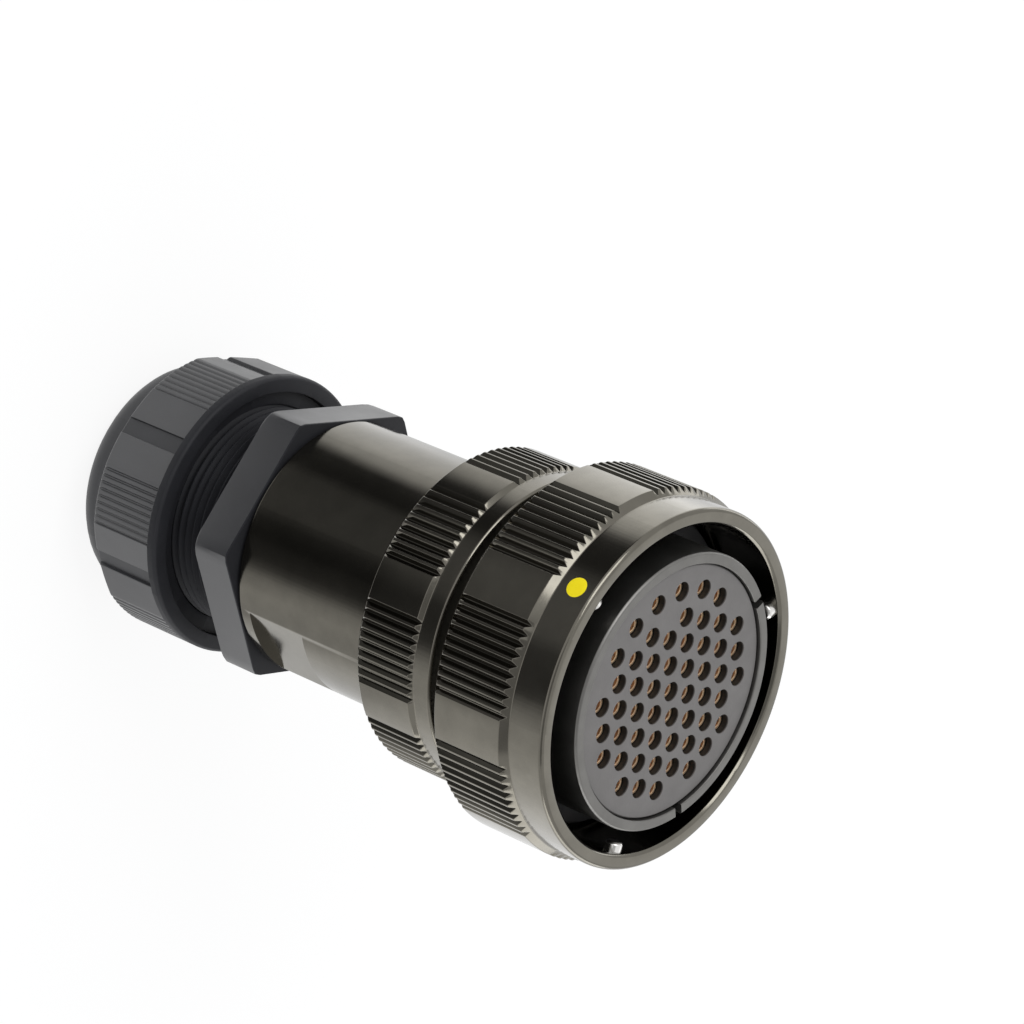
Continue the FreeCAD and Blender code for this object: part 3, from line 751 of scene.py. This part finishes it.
class MakePlugShell(bpy.types.Operator):
    """Build the plug shell with its keyways, and finish what it carries"""
    bl_idname = "cable_socket.plug_shell"
    bl_label = "Plug shell"

    def execute(self, context):
        shell = context.scene.socket_shell
        edge = context.scene.socket_grip.edge
        flange_high = face_seal_low
        flange_low = flange_high - shell.flange_length
        threaded = shell.bearing_radius - 0.0004
        profile = [
            (shell.rear_bore, shell_low, edge),
            (threaded, shell_low, edge * 2),
            (threaded, bell_high + edge, edge),
            (shell.bearing_radius, bell_high + edge * 2, edge),
            (shell.bearing_radius, flange_low, edge),
            (shell.flange_radius, flange_low, edge),
            (shell.flange_radius, flange_high, edge * 2),
            (shell.radius, flange_high, edge),
            (shell.radius, shell_high - shell.edge, edge),
            (shell.radius - shell.edge, shell_high, edge),
            (shell.bore + edge, shell_high, edge),
            (shell.bore, shell_high - edge, edge),
            (shell.bore, insert_low, edge),
            (shell.rear_bore, insert_low, edge),
        ]
        key_low = shell_high - shell.key_length
        past = 0.002
        keys = [
            bar(shell.key_width, shell.bore - past, shell.radius + past, key_low, shell_high + past, angle)
            for angle in (shell.key_turn, shell.side_key_turn)
        ]
        mesh = cut_away(lathe("shell", profile, 240), keys)
        dress("plug_shell_turned", mesh, "dull_plating", "shell_plating", "plug", "plug_shell", sharp=30.0)
        seal = lathe("face_seal", [
            (shell.radius, face_seal_low, edge),
            (shell.flange_radius - edge * 2, face_seal_low, edge),
            (shell.flange_radius - edge * 2, face_seal_high - edge, edge * 4),
            (shell.radius, face_seal_high, edge * 2),
        ], 128)
        dress("interface_seal_moulded", seal, "black_rubber", "seal_rubber", "plug", "interface_seal")
        paint_node("front_insert", "grey_face")
        paint_node("rear_insert", "moulded_insulator")
        for node in ("wire_grommet", "endbell_gasket", "gland_o_ring"):
            paint_node(node, "black_rubber")
        for node in ("thrust_washer", "retaining_clip", "grommet_ferrule"):
            paint_node(node, "rolled_steel")
        self.wave_spring(shell, flange_low)
        return {"FINISHED"}

    def wave_spring(self, shell, top):
        """A strip washer bent into even waves."""
        (_, _, low), (outer, _, high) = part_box("wave_spring")
        inner = shell.bearing_radius + shell.spring_gap
        middle = (low + high) / 2
        swing = (high - low - shell.spring_strip) / 2
        columns = []
        steps = 96
        for step in range(steps):
            angle = FULL_TURN * step / steps
            centre = middle + swing * math.cos(shell.spring_waves * angle)
            bottom, roof = centre - shell.spring_strip / 2, centre + shell.spring_strip / 2
            columns.append((angle, [(inner, bottom), (outer, bottom), (outer, roof), (inner, roof)]))
        mesh = ring_mesh("spring", columns)
        piece = dress("wave_spring_rolled", mesh, "rolled_steel", "spring_steel", "plug", "wave_spring")
        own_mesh(piece)


class MakeContacts(bpy.types.Operator):
    """Build the socket contacts in the insert's holes"""
    bl_idname = "cable_socket.contacts"
    bl_label = "Socket contacts"

    def execute(self, context):
        sizes = context.scene.socket_contacts
        mouth = insert_high - sizes.sink
        tail_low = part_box("socket_contacts")[0][2]
        edge = 0.00012
        tail_radius = 0.0012
        profile = [
            (AXIS_GAP, mouth - sizes.depth, 0.0),
            (AXIS_GAP, tail_low, 0.0),
            (tail_radius, tail_low, edge),
            (tail_radius, insert_low - edge, 0.0),
            (sizes.radius, insert_low, edge),
            (sizes.radius, mouth, edge),
            (sizes.bore, mouth, edge),
            (sizes.bore, mouth - sizes.depth, 0.0),
        ]
        source = add_object("contact", lathe("contact", profile, 24))
        mesh = through_tree(mesh_of("holes", hole_places(sizes), []), "place_on_points", {
            "Piece": source, "Material": bpy.data.materials["contact_plating"]})
        bpy.data.objects.remove(source)
        dress("socket_contacts_turned", mesh, "contact_plating", "contact_plate", "plug", "socket_contacts")
        return {"FINISHED"}


def hole_places(sizes):
    """The hole pattern: a triangular lattice about the axis, with one arc of evenly spaced holes."""
    places = []
    reach = int(sizes.reach / sizes.pitch) + 2
    for row in range(-reach, reach + 1):
        for column in range(-reach, reach + 1):
            along = sizes.pitch * (column + row / 2)
            across = sizes.pitch * row * math.sqrt(3) / 2
            radius = math.hypot(along, across)
            angle = math.atan2(across, along) + sizes.pattern_turn
            off_arc = abs((angle - sizes.arc_turn + math.pi) % FULL_TURN - math.pi)
            in_arc = radius > sizes.inner_reach and off_arc < sizes.arc_step * sizes.arc_holes / 2
            if radius < sizes.reach and not in_arc:
                places.append(polar(radius, angle, 0.0))
    for hole in range(sizes.arc_holes):
        angle = sizes.arc_turn + sizes.arc_step * (hole - (sizes.arc_holes - 1) / 2)
        places.append(polar(sizes.arc_radius, angle, 0.0))
    return places


class MakeEndbell(bpy.types.Operator):
    """Build the endbell with its grip, band, barrel and spanner flats"""
    bl_idname = "cable_socket.endbell"
    bl_label = "Endbell"

    def execute(self, context):
        bell = context.scene.socket_bell
        grip = context.scene.socket_grip
        edge = grip.edge
        grip_low = bell_low + bell.barrel_length
        band_low = grip_low + bell.grip_length
        step = bell_high - bell.front_depth
        mouth_end = bell_low + bell.mouth_length
        o_ring_seat = bell.mouth_bore + 0.0016
        o_ring_top = bell_low + 0.0012
        columns = []
        for angle, share in panel_columns(bell.radius, bell.land_turn, bell.land_angle, bell.grooves, grip):
            depth = min(grip.groove_depth * share, bell.radius - bell.band_radius)
            outline = [
                (bell.mouth_bore, o_ring_top, 0.0),
                (o_ring_seat, o_ring_top, 0.0),
                (o_ring_seat, bell_low, 0.0),
                (bell.barrel_radius - bell.barrel_chamfer, bell_low, edge),
                (bell.barrel_radius, bell_low + bell.barrel_chamfer, edge),
                (bell.barrel_radius, grip_low, edge),
            ] + grip_side(
                bell.radius, depth, grip_low, bell.rear_chamfer, grip.rear_stop,
                band_low, bell.band_radius, bell.front_chamfer, edge
            ) + [
                (bell.band_radius, band_low + edge * 3, 0.0),
                (bell.band_radius, bell_high - edge * 5, 0.0),
                (bell.band_radius, bell_high - edge * 3, edge),
                (bell.band_radius - edge * 3, bell_high, edge),
                (bell.front_bore, bell_high, edge),
                (bell.front_bore, step, 0.0),
                (bell.barrel_bore, step, 0.0),
                (bell.barrel_bore, mouth_end, 0.0),
                (bell.mouth_bore, mouth_end, 0.0),
            ]
            columns.append((angle, eased(outline)))
        sector = ring_mesh("bell_panel", columns, closed=False)
        whole = repeated(sector, grip.panels, "black_plating")
        flat_low = bell_low + bell.flat_rim
        flats = [
            bar(2 * bell.barrel_radius, bell.flat_width, 2 * bell.barrel_radius,
                flat_low, flat_low + bell.flat_length, bell.flat_turn + side * math.pi)
            for side in range(2)
        ]
        mesh = cut_away(whole, flats)
        dress("endbell_turned", mesh, "black_plating", "ring_plating", "plug", "endbell")
        return {"FINISHED"}


class MakeGlandBody(bpy.types.Operator):
    """Build the gland body: hexagon, cut thread, neck and clamping fingers"""
    bl_idname = "cable_socket.gland_body"
    bl_label = "Gland body"

    def execute(self, context):
        gland = context.scene.socket_gland
        hex_low = bell_low - gland.hex_length
        finger_root = gland_low + gland.finger_length
        neck_low = bell_low - 0.001
        edge = 0.0002
        parts = [
            self.hexagon(gland, hex_low),
            self.thread(gland, finger_root, hex_low),
            self.fingers(gland, gland_low, finger_root, edge),
            lathe("neck", [
                (gland.bore, neck_low, 0.0),
                (gland.neck_radius, neck_low, 0.0),
                (gland.neck_radius, gland_high, edge),
                (gland.bore, gland_high, edge),
            ], 96),
        ]
        mesh = joined("gland", parts)
        piece = dress(
            "gland_body_moulded", mesh, "satin_plastic", "gland_plastic", "plug", "gland_body", sharp=34.0)
        # Painted shade: the thread below the hexagon and the neck inside the endbell get the darkest copy
        # of the plastic.
        refinish(piece, "matt_plastic", lambda centre: centre.z < hex_low or centre.z > bell_low - edge)
        return {"FINISHED"}

    def hexagon(self, gland, low):
        """One side of the hexagon, repeated six times; its columns crowd towards the corners."""
        half_side = math.pi / 6
        half_flat = gland.flats / 2
        corner = half_flat / math.cos(half_side)
        edge = 0.00025
        limit = corner - edge
        foot = corner - gland.hex_chamfer
        columns = []
        steps, crowding = 20, 0.8
        for step in range(steps + 1):
            off = 2 * half_side * (step / steps - 0.5)
            off = math.copysign(half_side * (abs(off) / half_side) ** crowding, off)
            radius = min(half_flat / math.cos(off), limit)
            rise = max(0.0, radius - foot) / 2
            outline = [
                (gland.bore, low, 0.0),
                (min(radius, foot), low, 0.0),
                (radius, low + rise, edge),
                (radius, bell_low, edge),
                (gland.bore, bell_low, 0.0),
            ]
            columns.append((gland.hex_turn + half_side + off, eased(outline)))
        return repeated(ring_mesh("hex_side", columns, closed=False), 6, "satin_plastic")

    def thread(self, gland, low, high):
        """A cut thread as a helical grid, its ends squared off."""
        segments = 96
        pitch = gland.thread_pitch
        crest = gland.thread_radius
        root = crest - gland.thread_depth
        turns = int((high - low) / pitch) + 3
        shape = ((0.0, root), (0.12, root), (0.44, crest), (0.56, crest), (0.88, root))
        rows = [
            (low + (turn_index - 1 + share) * pitch, radius)
            for turn_index in range(turns) for share, radius in shape
        ]
        columns = []
        for segment in range(segments):
            share = segment / segments
            outline = [(radius, min(max(height + pitch * share, low), high)) for height, radius in rows]
            columns.append((FULL_TURN * share, outline))
        return helix_tube("thread", columns, len(shape), gland.seat, low, high)

    def fingers(self, gland, tip, root, edge):
        """One clamping finger with closed ends, repeated round the axis."""
        outline = eased([
            (gland.seat, tip, edge),
            (gland.finger_tip, tip, edge),
            (gland.finger_radius, tip + gland.finger_radius - gland.finger_tip, edge),
            (gland.finger_radius, root, 0.0),
            (gland.seat, root, 0.0),
        ])
        centre = math.pi / gland.fingers
        half = centre - gland.slot_width / 2 / gland.finger_radius
        steps = 8
        columns = [(centre + half * (2 * step / steps - 1), outline) for step in range(steps + 1)]
        finger = ring_mesh("finger", columns, closed=False)
        rows = len(outline)
        ends = [tuple(reversed(range(rows))), tuple(range(steps * rows, (steps + 1) * rows))]
        faces = [tuple(polygon.vertices) for polygon in finger.polygons] + ends
        capped = mesh_of("finger_capped", [vertex.co.copy() for vertex in finger.vertices], faces)
        return repeated(capped, gland.fingers, "satin_plastic")


def helix_tube(name, columns, per_turn, bore, low, high):
    """The thread's open helical grid, closed with a plain bore and two end faces."""
    segments = len(columns)
    rows = len(columns[0][1])
    verts = column_points(columns)
    faces = []
    for segment in range(segments):
        following = (segment + 1) % segments
        here = segment * rows
        there = following * rows + (per_turn if following == 0 else 0)
        for row in range(rows - 1 - per_turn):
            faces.append((here + row, there + row, there + row + 1, here + row + 1))
    core = bore + 0.0008
    start = len(verts)
    for radius, height in ((core, low), (core, high), (bore, high), (bore, low)):
        verts.extend(polar(radius, angle, height) for angle, _ in columns)
    for side in range(4):
        here, there = start + side * segments, start + (side + 1) % 4 * segments
        for segment in range(segments):
            following = (segment + 1) % segments
            faces.append((here + segment, here + following, there + following, there + segment))
    return mesh_of(name, verts, faces)


class MakeGlandSeal(bpy.types.Operator):
    """Build the seal that grips the cable, and its slip washer"""
    bl_idname = "cable_socket.gland_seal"
    bl_label = "Gland seal and slip washer"

    def execute(self, context):
        gland = context.scene.socket_gland
        outer = gland.seat - 0.00005
        bore = 0.012
        valley = bore + 0.0006
        edge = 0.0003
        ribs = 5
        profile = [
            (valley, seal_low, edge), (outer, seal_low, edge),
            (outer, seal_high, edge), (valley, seal_high, edge),
        ]
        pitch = (seal_high - seal_low) / ribs
        for rib in range(ribs):
            top = seal_high - rib * pitch
            profile.append((bore, top - 0.3 * pitch, edge))
            profile.append((bore, top - 0.7 * pitch, edge))
            if rib < ribs - 1:
                profile.append((valley, top - pitch, edge))
        seal = lathe("seal", profile, 96)
        piece = dress("gland_seal_moulded", seal, "black_rubber", "seal_rubber", "plug", "gland_seal")
        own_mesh(piece)
        paint_node("slip_washer", "moulded_insulator")
        return {"FINISHED"}


class MakeGlandNut(bpy.types.Operator):
    """Build the gland nut with its ribbed corners, flats, channels and rounded rim"""
    bl_idname = "cable_socket.gland_nut"
    bl_label = "Gland nut"

    def execute(self, context):
        nut = context.scene.socket_nut
        grip_high = nut_high - nut.collar
        grip_low = grip_high - nut.grip_length
        foot = grip_low - nut.shoulder
        slope = (nut.radius + nut.rib_depth - nut.shoulder_radius) / nut.shoulder
        roll = nut.rim_radius - nut.rim_flat
        roll_steps = 8
        edge = 0.00022
        collar_edge = 0.0004
        columns = []
        for angle, radius in self.around(nut):
            outline = [(nut.rim_flat, nut_low, 0.0)]
            outline += [
                (nut.rim_flat + roll * math.sin(bend), nut_low + roll * (1 - math.cos(bend)), 0.0)
                for bend in (math.pi / 2 * step / roll_steps for step in range(1, roll_steps + 1))
            ]
            outline += [
                (nut.rim_radius, foot, edge),
                (nut.shoulder_radius, foot, edge),
                (radius, foot + (radius - nut.shoulder_radius) / slope, edge),
                (radius, grip_high, edge),
                (nut.radius, grip_high, edge),
                (nut.radius, nut_high - collar_edge, edge),
                (nut.radius - collar_edge, nut_high, edge),
                (nut.recess, nut_high, edge),
                (nut.recess, nut_high - nut.recess_depth, edge),
                (nut.thread_bore, nut_high - nut.recess_depth, edge),
                (nut.thread_bore, nut_low + nut.cone_high, edge),
                (nut.pocket, nut_low + nut.cone_low, edge),
                (nut.pocket, nut_low + nut.floor, edge),
                (nut.mouth, nut_low + nut.floor, edge),
                (nut.mouth, nut_low + nut.mouth_edge, edge * 2),
                (nut.mouth + nut.mouth_edge, nut_low, edge * 2),
            ]
            columns.append((angle, eased(outline)))
        sector = ring_mesh("nut_corner", columns, closed=False)
        mesh = repeated(sector, nut.sides, "satin_plastic")
        piece = dress(
            "gland_nut_moulded", mesh, "satin_plastic", "gland_plastic", "nut", "gland_nut", sharp=34.0)
        side = FULL_TURN / nut.sides
        first_channel = nut.first_corner + side / 2
        margin = 0.0001

        def inside(centre):
            return math.hypot(centre.x, centre.y) < nut.recess + margin

        def dull_and_shaded_faces(centre):
            """The channels in the flats, which are less glossy, and the rounded rear rim, darkened as
            painted shade.
            """
            off = (math.atan2(centre.y, centre.x) - first_channel + side / 2) % side - side / 2
            on_grip = foot < centre.z < grip_high and not inside(centre)
            return centre.z < foot or (on_grip and abs(off) < nut.channel_angle / 2)

        def painted_shade_faces(centre):
            """The collar and everything inside the nut, darkened as painted shade."""
            return centre.z > grip_high or (inside(centre) and centre.z > nut_low + nut.floor)

        # Painted shade on the rear rim, the collar and the inside; the channels are less glossy.
        refinish(piece, "dull_plastic", dull_and_shaded_faces)
        refinish(piece, "matt_plastic", painted_shade_faces)
        return {"FINISHED"}

    def around(self, nut):
        """(angle, radius) columns of one ribbed corner and the flat after it."""
        side = FULL_TURN / nut.sides
        ribbed = side - nut.flat_angle
        rib = ribbed / nut.ribs
        start = nut.first_corner - ribbed / 2
        low = nut.radius - nut.rib_depth
        shoulder = nut.radius - 0.00005
        crest = (
            (0.0, shoulder), (0.08, nut.radius), (0.42, nut.radius),
            (0.5, shoulder), (0.68, low), (0.82, low))
        columns = [
            (start + (index + share) * rib, radius)
            for index in range(nut.ribs) for share, radius in crest
        ]
        half = nut.flat_angle / 2
        flat = nut.radius * math.cos(half)
        centre = start + ribbed + half
        channel = nut.channel_angle / 2
        ease = 0.06 * channel
        shares = (0.4, 0.6, 0.8, 0.98)
        offs = [(-(channel + (half - channel) * share), 0.0) for share in (1.0, *reversed(shares))]
        offs += [
            (-channel - ease, 0.0), (-channel, 0.15), (-channel + ease, 1.0),
            (channel - ease, 1.0), (channel, 0.15), (channel + ease, 0.0)]
        offs += [(channel + (half - channel) * share, 0.0) for share in shares]
        for off, sunk in offs:
            columns.append((centre + off, (flat - nut.channel_depth * sunk) / math.cos(off)))
        columns.append((start + side, shoulder))
        return columns


class MakeStage(bpy.types.Operator):
    """Set the floor, the lamps, the backdrop and the camera"""
    bl_idname = "cable_socket.stage"
    bl_label = "Stage"

    def execute(self, context):
        scene = context.scene
        self.floor()
        self.backdrop(scene)
        self.card()
        self.screen()
        self.lamps()
        self.camera(scene)
        scene.view_settings.view_transform = "Standard"
        return {"FINISHED"}

    def surface(self, name, corners, faces, only_reflected=True):
        """A stage surface and its empty material; most of them only reflections show."""
        mesh = mesh_of(name, corners, faces)
        material = bpy.data.materials.new(name)
        mesh.materials.append(material)
        plane = add_object(name, mesh)
        if only_reflected:
            plane.visible_camera = False
            plane.visible_diffuse = False
            plane.visible_shadow = False
            plane.visible_transmission = False
        return plane, fresh_nodes(material)

    def floor(self):
        """A plain white floor that keeps the object's shadow."""
        reach = 4.0
        corners = [(-reach, -reach, 0), (reach, -reach, 0), (reach, reach, 0), (-reach, reach, 0)]
        _, nodes = self.surface("floor", corners, [(0, 1, 2, 3)], only_reflected=False)
        white_share = nodes.math("MULTIPLY", nodes.seen_by_camera_or_gloss(), 0.82)
        matte = nodes.add("ShaderNodeBsdfDiffuse", {"Color": grey(0.86)})
        glow = nodes.add("ShaderNodeEmission", {"Color": grey(1.0), "Strength": 1.07})
        mix = nodes.add("ShaderNodeMixShader", {0: white_share, 1: matte.outputs[0], 2: glow.outputs[0]})
        nodes.add("ShaderNodeOutputMaterial", {0: mix.outputs[0]})

    def backdrop(self, scene):
        """White to the camera and in reflections, a soft grey fill for the rest."""
        world = bpy.data.worlds.new("studio")
        nodes = fresh_nodes(world)
        seen = nodes.seen_by_camera_or_gloss()
        fill = nodes.add("ShaderNodeBackground", {"Color": (0.97, 0.98, 1.0, 1.0), "Strength": 0.6})
        white = nodes.add("ShaderNodeBackground", {"Color": grey(1.0), "Strength": 1.0})
        mix = nodes.add("ShaderNodeMixShader", {0: seen, 1: fill.outputs[0], 2: white.outputs[0]})
        nodes.add("ShaderNodeOutputWorld", {0: mix.outputs[0]})
        scene.world = world

    def hang(self, thing, azimuth, elevation, distance, target):
        """Place a lamp or a screen by its direction, facing the target."""
        across, up = math.radians(azimuth), math.radians(elevation)
        aim = Vector(polar(math.cos(up), across, math.sin(up)))
        thing.location = target + aim * distance
        thing.rotation_euler = aim.to_track_quat("Z", "Y").to_euler()

    def lamps(self):
        """Soft boxes round the object, each by its direction, distance, size and brightness."""
        target = Vector((0.0, 0.0, 0.07))
        for name, azimuth, elevation, distance, width, height, brightness in (
                ("soft_box_key", 115, 47, 0.8, 0.42, 0.42, 3.6),
                ("soft_box_low", -75, 14, 0.8, 0.9, 0.34, 2.1),
                ("soft_box_back", 28, 6, 0.9, 0.5, 0.2, 1.8),
                ("soft_box_face", -13, 35, 0.8, 0.4, 0.36, 0.36)):
            light = bpy.data.lights.new(name, "AREA")
            light.shape = "RECTANGLE"
            light.size, light.size_y = width, height
            light.energy = brightness * math.pi * width * height
            self.hang(add_object(name, light), azimuth, elevation, distance, target)

    def card(self):
        """A glowing card on the floor round the object, which only reflections show: a painted reflection
        for the metal.

        It is brighter to some sides than to others, near the object and farther out."""
        segments, inner, outer, height = 90, 0.055, 1.2, 0.0004
        corners = [
            polar(radius, FULL_TURN * step / segments, height)
            for step in range(segments) for radius in (inner, outer)
        ]
        faces = [
            (start, start + 1, (start + 3) % len(corners), (start + 2) % len(corners))
            for start in range(0, len(corners), 2)
        ]
        _, nodes = self.surface("reflection_card", corners, faces)
        place = nodes.object_place()
        x, y, _ = nodes.split(place)
        share = nodes.add("ShaderNodeMapRange", {
            "Value": nodes.math("ARCTAN2", y, x), "From Min": -math.pi, "From Max": math.pi})
        brightest = 2.4
        # Painted reflection: the card's glow by direction, near the object and farther out.
        near = self.brightness_round(nodes, share.outputs[0], brightest, (
            (-176, 0.06), (-166, 0.09), (-159, 0.22), (-150, 0.75), (-138, 1.02), (-117, 0.85),
            (-106, 1.2), (-95, 1.4), (-83, 1.25), (-61, 1.0), (-30, 0.8), (0, 0.7), (20, 0.9),
            (34, 1.3), (58, 1.45), (70, 1.5), (80, 1.15), (86, 0.95), (90, 0.5), (96, 0.07),
            (114, 0.05), (124, 0.15), (156, 0.17), (164, 0.06), (172, 0.04), (180, 0.035)))
        far = self.brightness_round(nodes, share.outputs[0], brightest, (
            (-172, 0.12), (-162, 0.15), (-156, 0.5), (-150, 0.78), (-139, 1.15), (-128, 1.25),
            (-117, 1.5), (-105, 1.65), (-94, 1.8), (-82, 1.85), (-71, 1.7), (-59, 1.4), (-47, 1.2),
            (-30, 1.0), (0, 0.9), (20, 1.1), (30, 1.7), (38, 2.4), (61, 2.2), (72, 1.95), (84, 1.3),
            (89, 0.85), (93, 0.3), (97, 0.1), (106, 0.07), (118, 0.07), (128, 0.25), (140, 0.32),
            (163, 0.3), (172, 0.14)))
        across = nodes.add("ShaderNodeVectorMath", {0: place}, operation="LENGTH")
        away = nodes.add("ShaderNodeMapRange", {
            "Value": across.outputs["Value"], "From Min": 0.105, "From Max": 0.15})
        both = nodes.add("ShaderNodeMix", {0: away.outputs[0], 6: near, 7: far}, data_type="RGBA")
        glow = nodes.add("ShaderNodeEmission", {"Color": both.outputs[2], "Strength": brightest})
        nodes.add("ShaderNodeOutputMaterial", {0: glow.outputs[0]})

    def brightness_round(self, nodes, share, brightest, stops):
        """A grey ramp over (direction in degrees, brightness) stops, as a share of the brightest."""
        ramp = nodes.add("ShaderNodeValToRGB", {0: share})
        while len(ramp.color_ramp.elements) < len(stops):
            ramp.color_ramp.elements.new(0.5)
        for element, (degrees, value) in zip(ramp.color_ramp.elements, stops):
            element.position = (degrees + 180) / 360
            element.color = grey(value / brightest)
        return ramp.outputs[0]

    def screen(self):
        """A grey screen above and beside the camera, which only reflections show."""
        width, depth, brightness = 1.6, 0.9, 0.45
        corners = [(x * width / 2, y * depth / 2, 0) for x, y in ((-1, -1), (1, -1), (1, 1), (-1, 1))]
        panel, nodes = self.surface("grey_screen", corners, [(0, 1, 2, 3)])
        glow = nodes.add("ShaderNodeEmission", {"Color": grey(brightness), "Strength": 1.0})
        nodes.add("ShaderNodeOutputMaterial", {0: glow.outputs[0]})
        self.hang(panel, 205, 50, 1.5, Vector((0.0, 0.0, 0.0)))

    def camera(self, scene):
        """The photograph's viewing angle, a long lens with a rolled camera."""
        lens = bpy.data.cameras.new("camera")
        lens.sensor_width = 36.0
        lens.lens = 158.203
        lens.clip_start = 0.01
        lens.clip_end = 20.0
        eye = add_object("camera", lens)
        turned = Matrix((
            (0.63222, 0.0, -0.77479),
            (0.23371, 0.95342, 0.19071),
            (0.7387, -0.30164, 0.60278),
        )).to_4x4()
        eye.matrix_world = Matrix.Translation((-0.53873, 0.14903, 0.49146)) @ turned
        scene.camera = eye


class SocketPanel(bpy.types.Panel):
    """The sizes, the colours and the steps, in order"""
    bl_idname = "VIEW3D_PT_cable_socket"
    bl_label = "Cable socket"
    bl_space_type = "VIEW_3D"
    bl_region_type = "UI"
    bl_category = "Cable socket"

    def draw(self, context):
        for name in property_groups:
            box = self.layout.box()
            box.label(text=name.replace("socket_", "").capitalize())
            group = getattr(context.scene, name)
            for key in group.bl_rna.properties.keys():
                if key not in ("rna_type", "name"):
                    box.prop(group, key)
        for step in steps:
            self.layout.operator(step.bl_idname)


property_groups = {
    "socket_grip": GripSizes,
    "socket_ring": RingSizes,
    "socket_shell": ShellSizes,
    "socket_contacts": ContactSizes,
    "socket_bell": BellSizes,
    "socket_gland": GlandSizes,
    "socket_nut": NutSizes,
    "socket_colours": FinishColours,
}

steps = (
    MakeFinishes,
    MakeCouplingRing,
    MakeBayonetPins,
    MakePlugShell,
    MakeContacts,
    MakeEndbell,
    MakeGlandBody,
    MakeGlandSeal,
    MakeGlandNut,
    MakeStage,
)


def register():
    for group in property_groups.values():
        bpy.utils.register_class(group)
    for name, group in property_groups.items():
        setattr(bpy.types.Scene, name, bpy.props.PointerProperty(type=group))
    for step in steps:
        bpy.utils.register_class(step)
    bpy.utils.register_class(SocketPanel)


def unregister():
    bpy.utils.unregister_class(SocketPanel)
    for step in reversed(steps):
        bpy.utils.unregister_class(step)
    for name in property_groups:
        delattr(bpy.types.Scene, name)
    for group in reversed(list(property_groups.values())):
        bpy.utils.unregister_class(group)


def main():
    register()
    for step in steps:
        category, name = step.bl_idname.split(".")
        getattr(getattr(bpy.ops, category), name)()


if __name__ == "__main__":
    main()
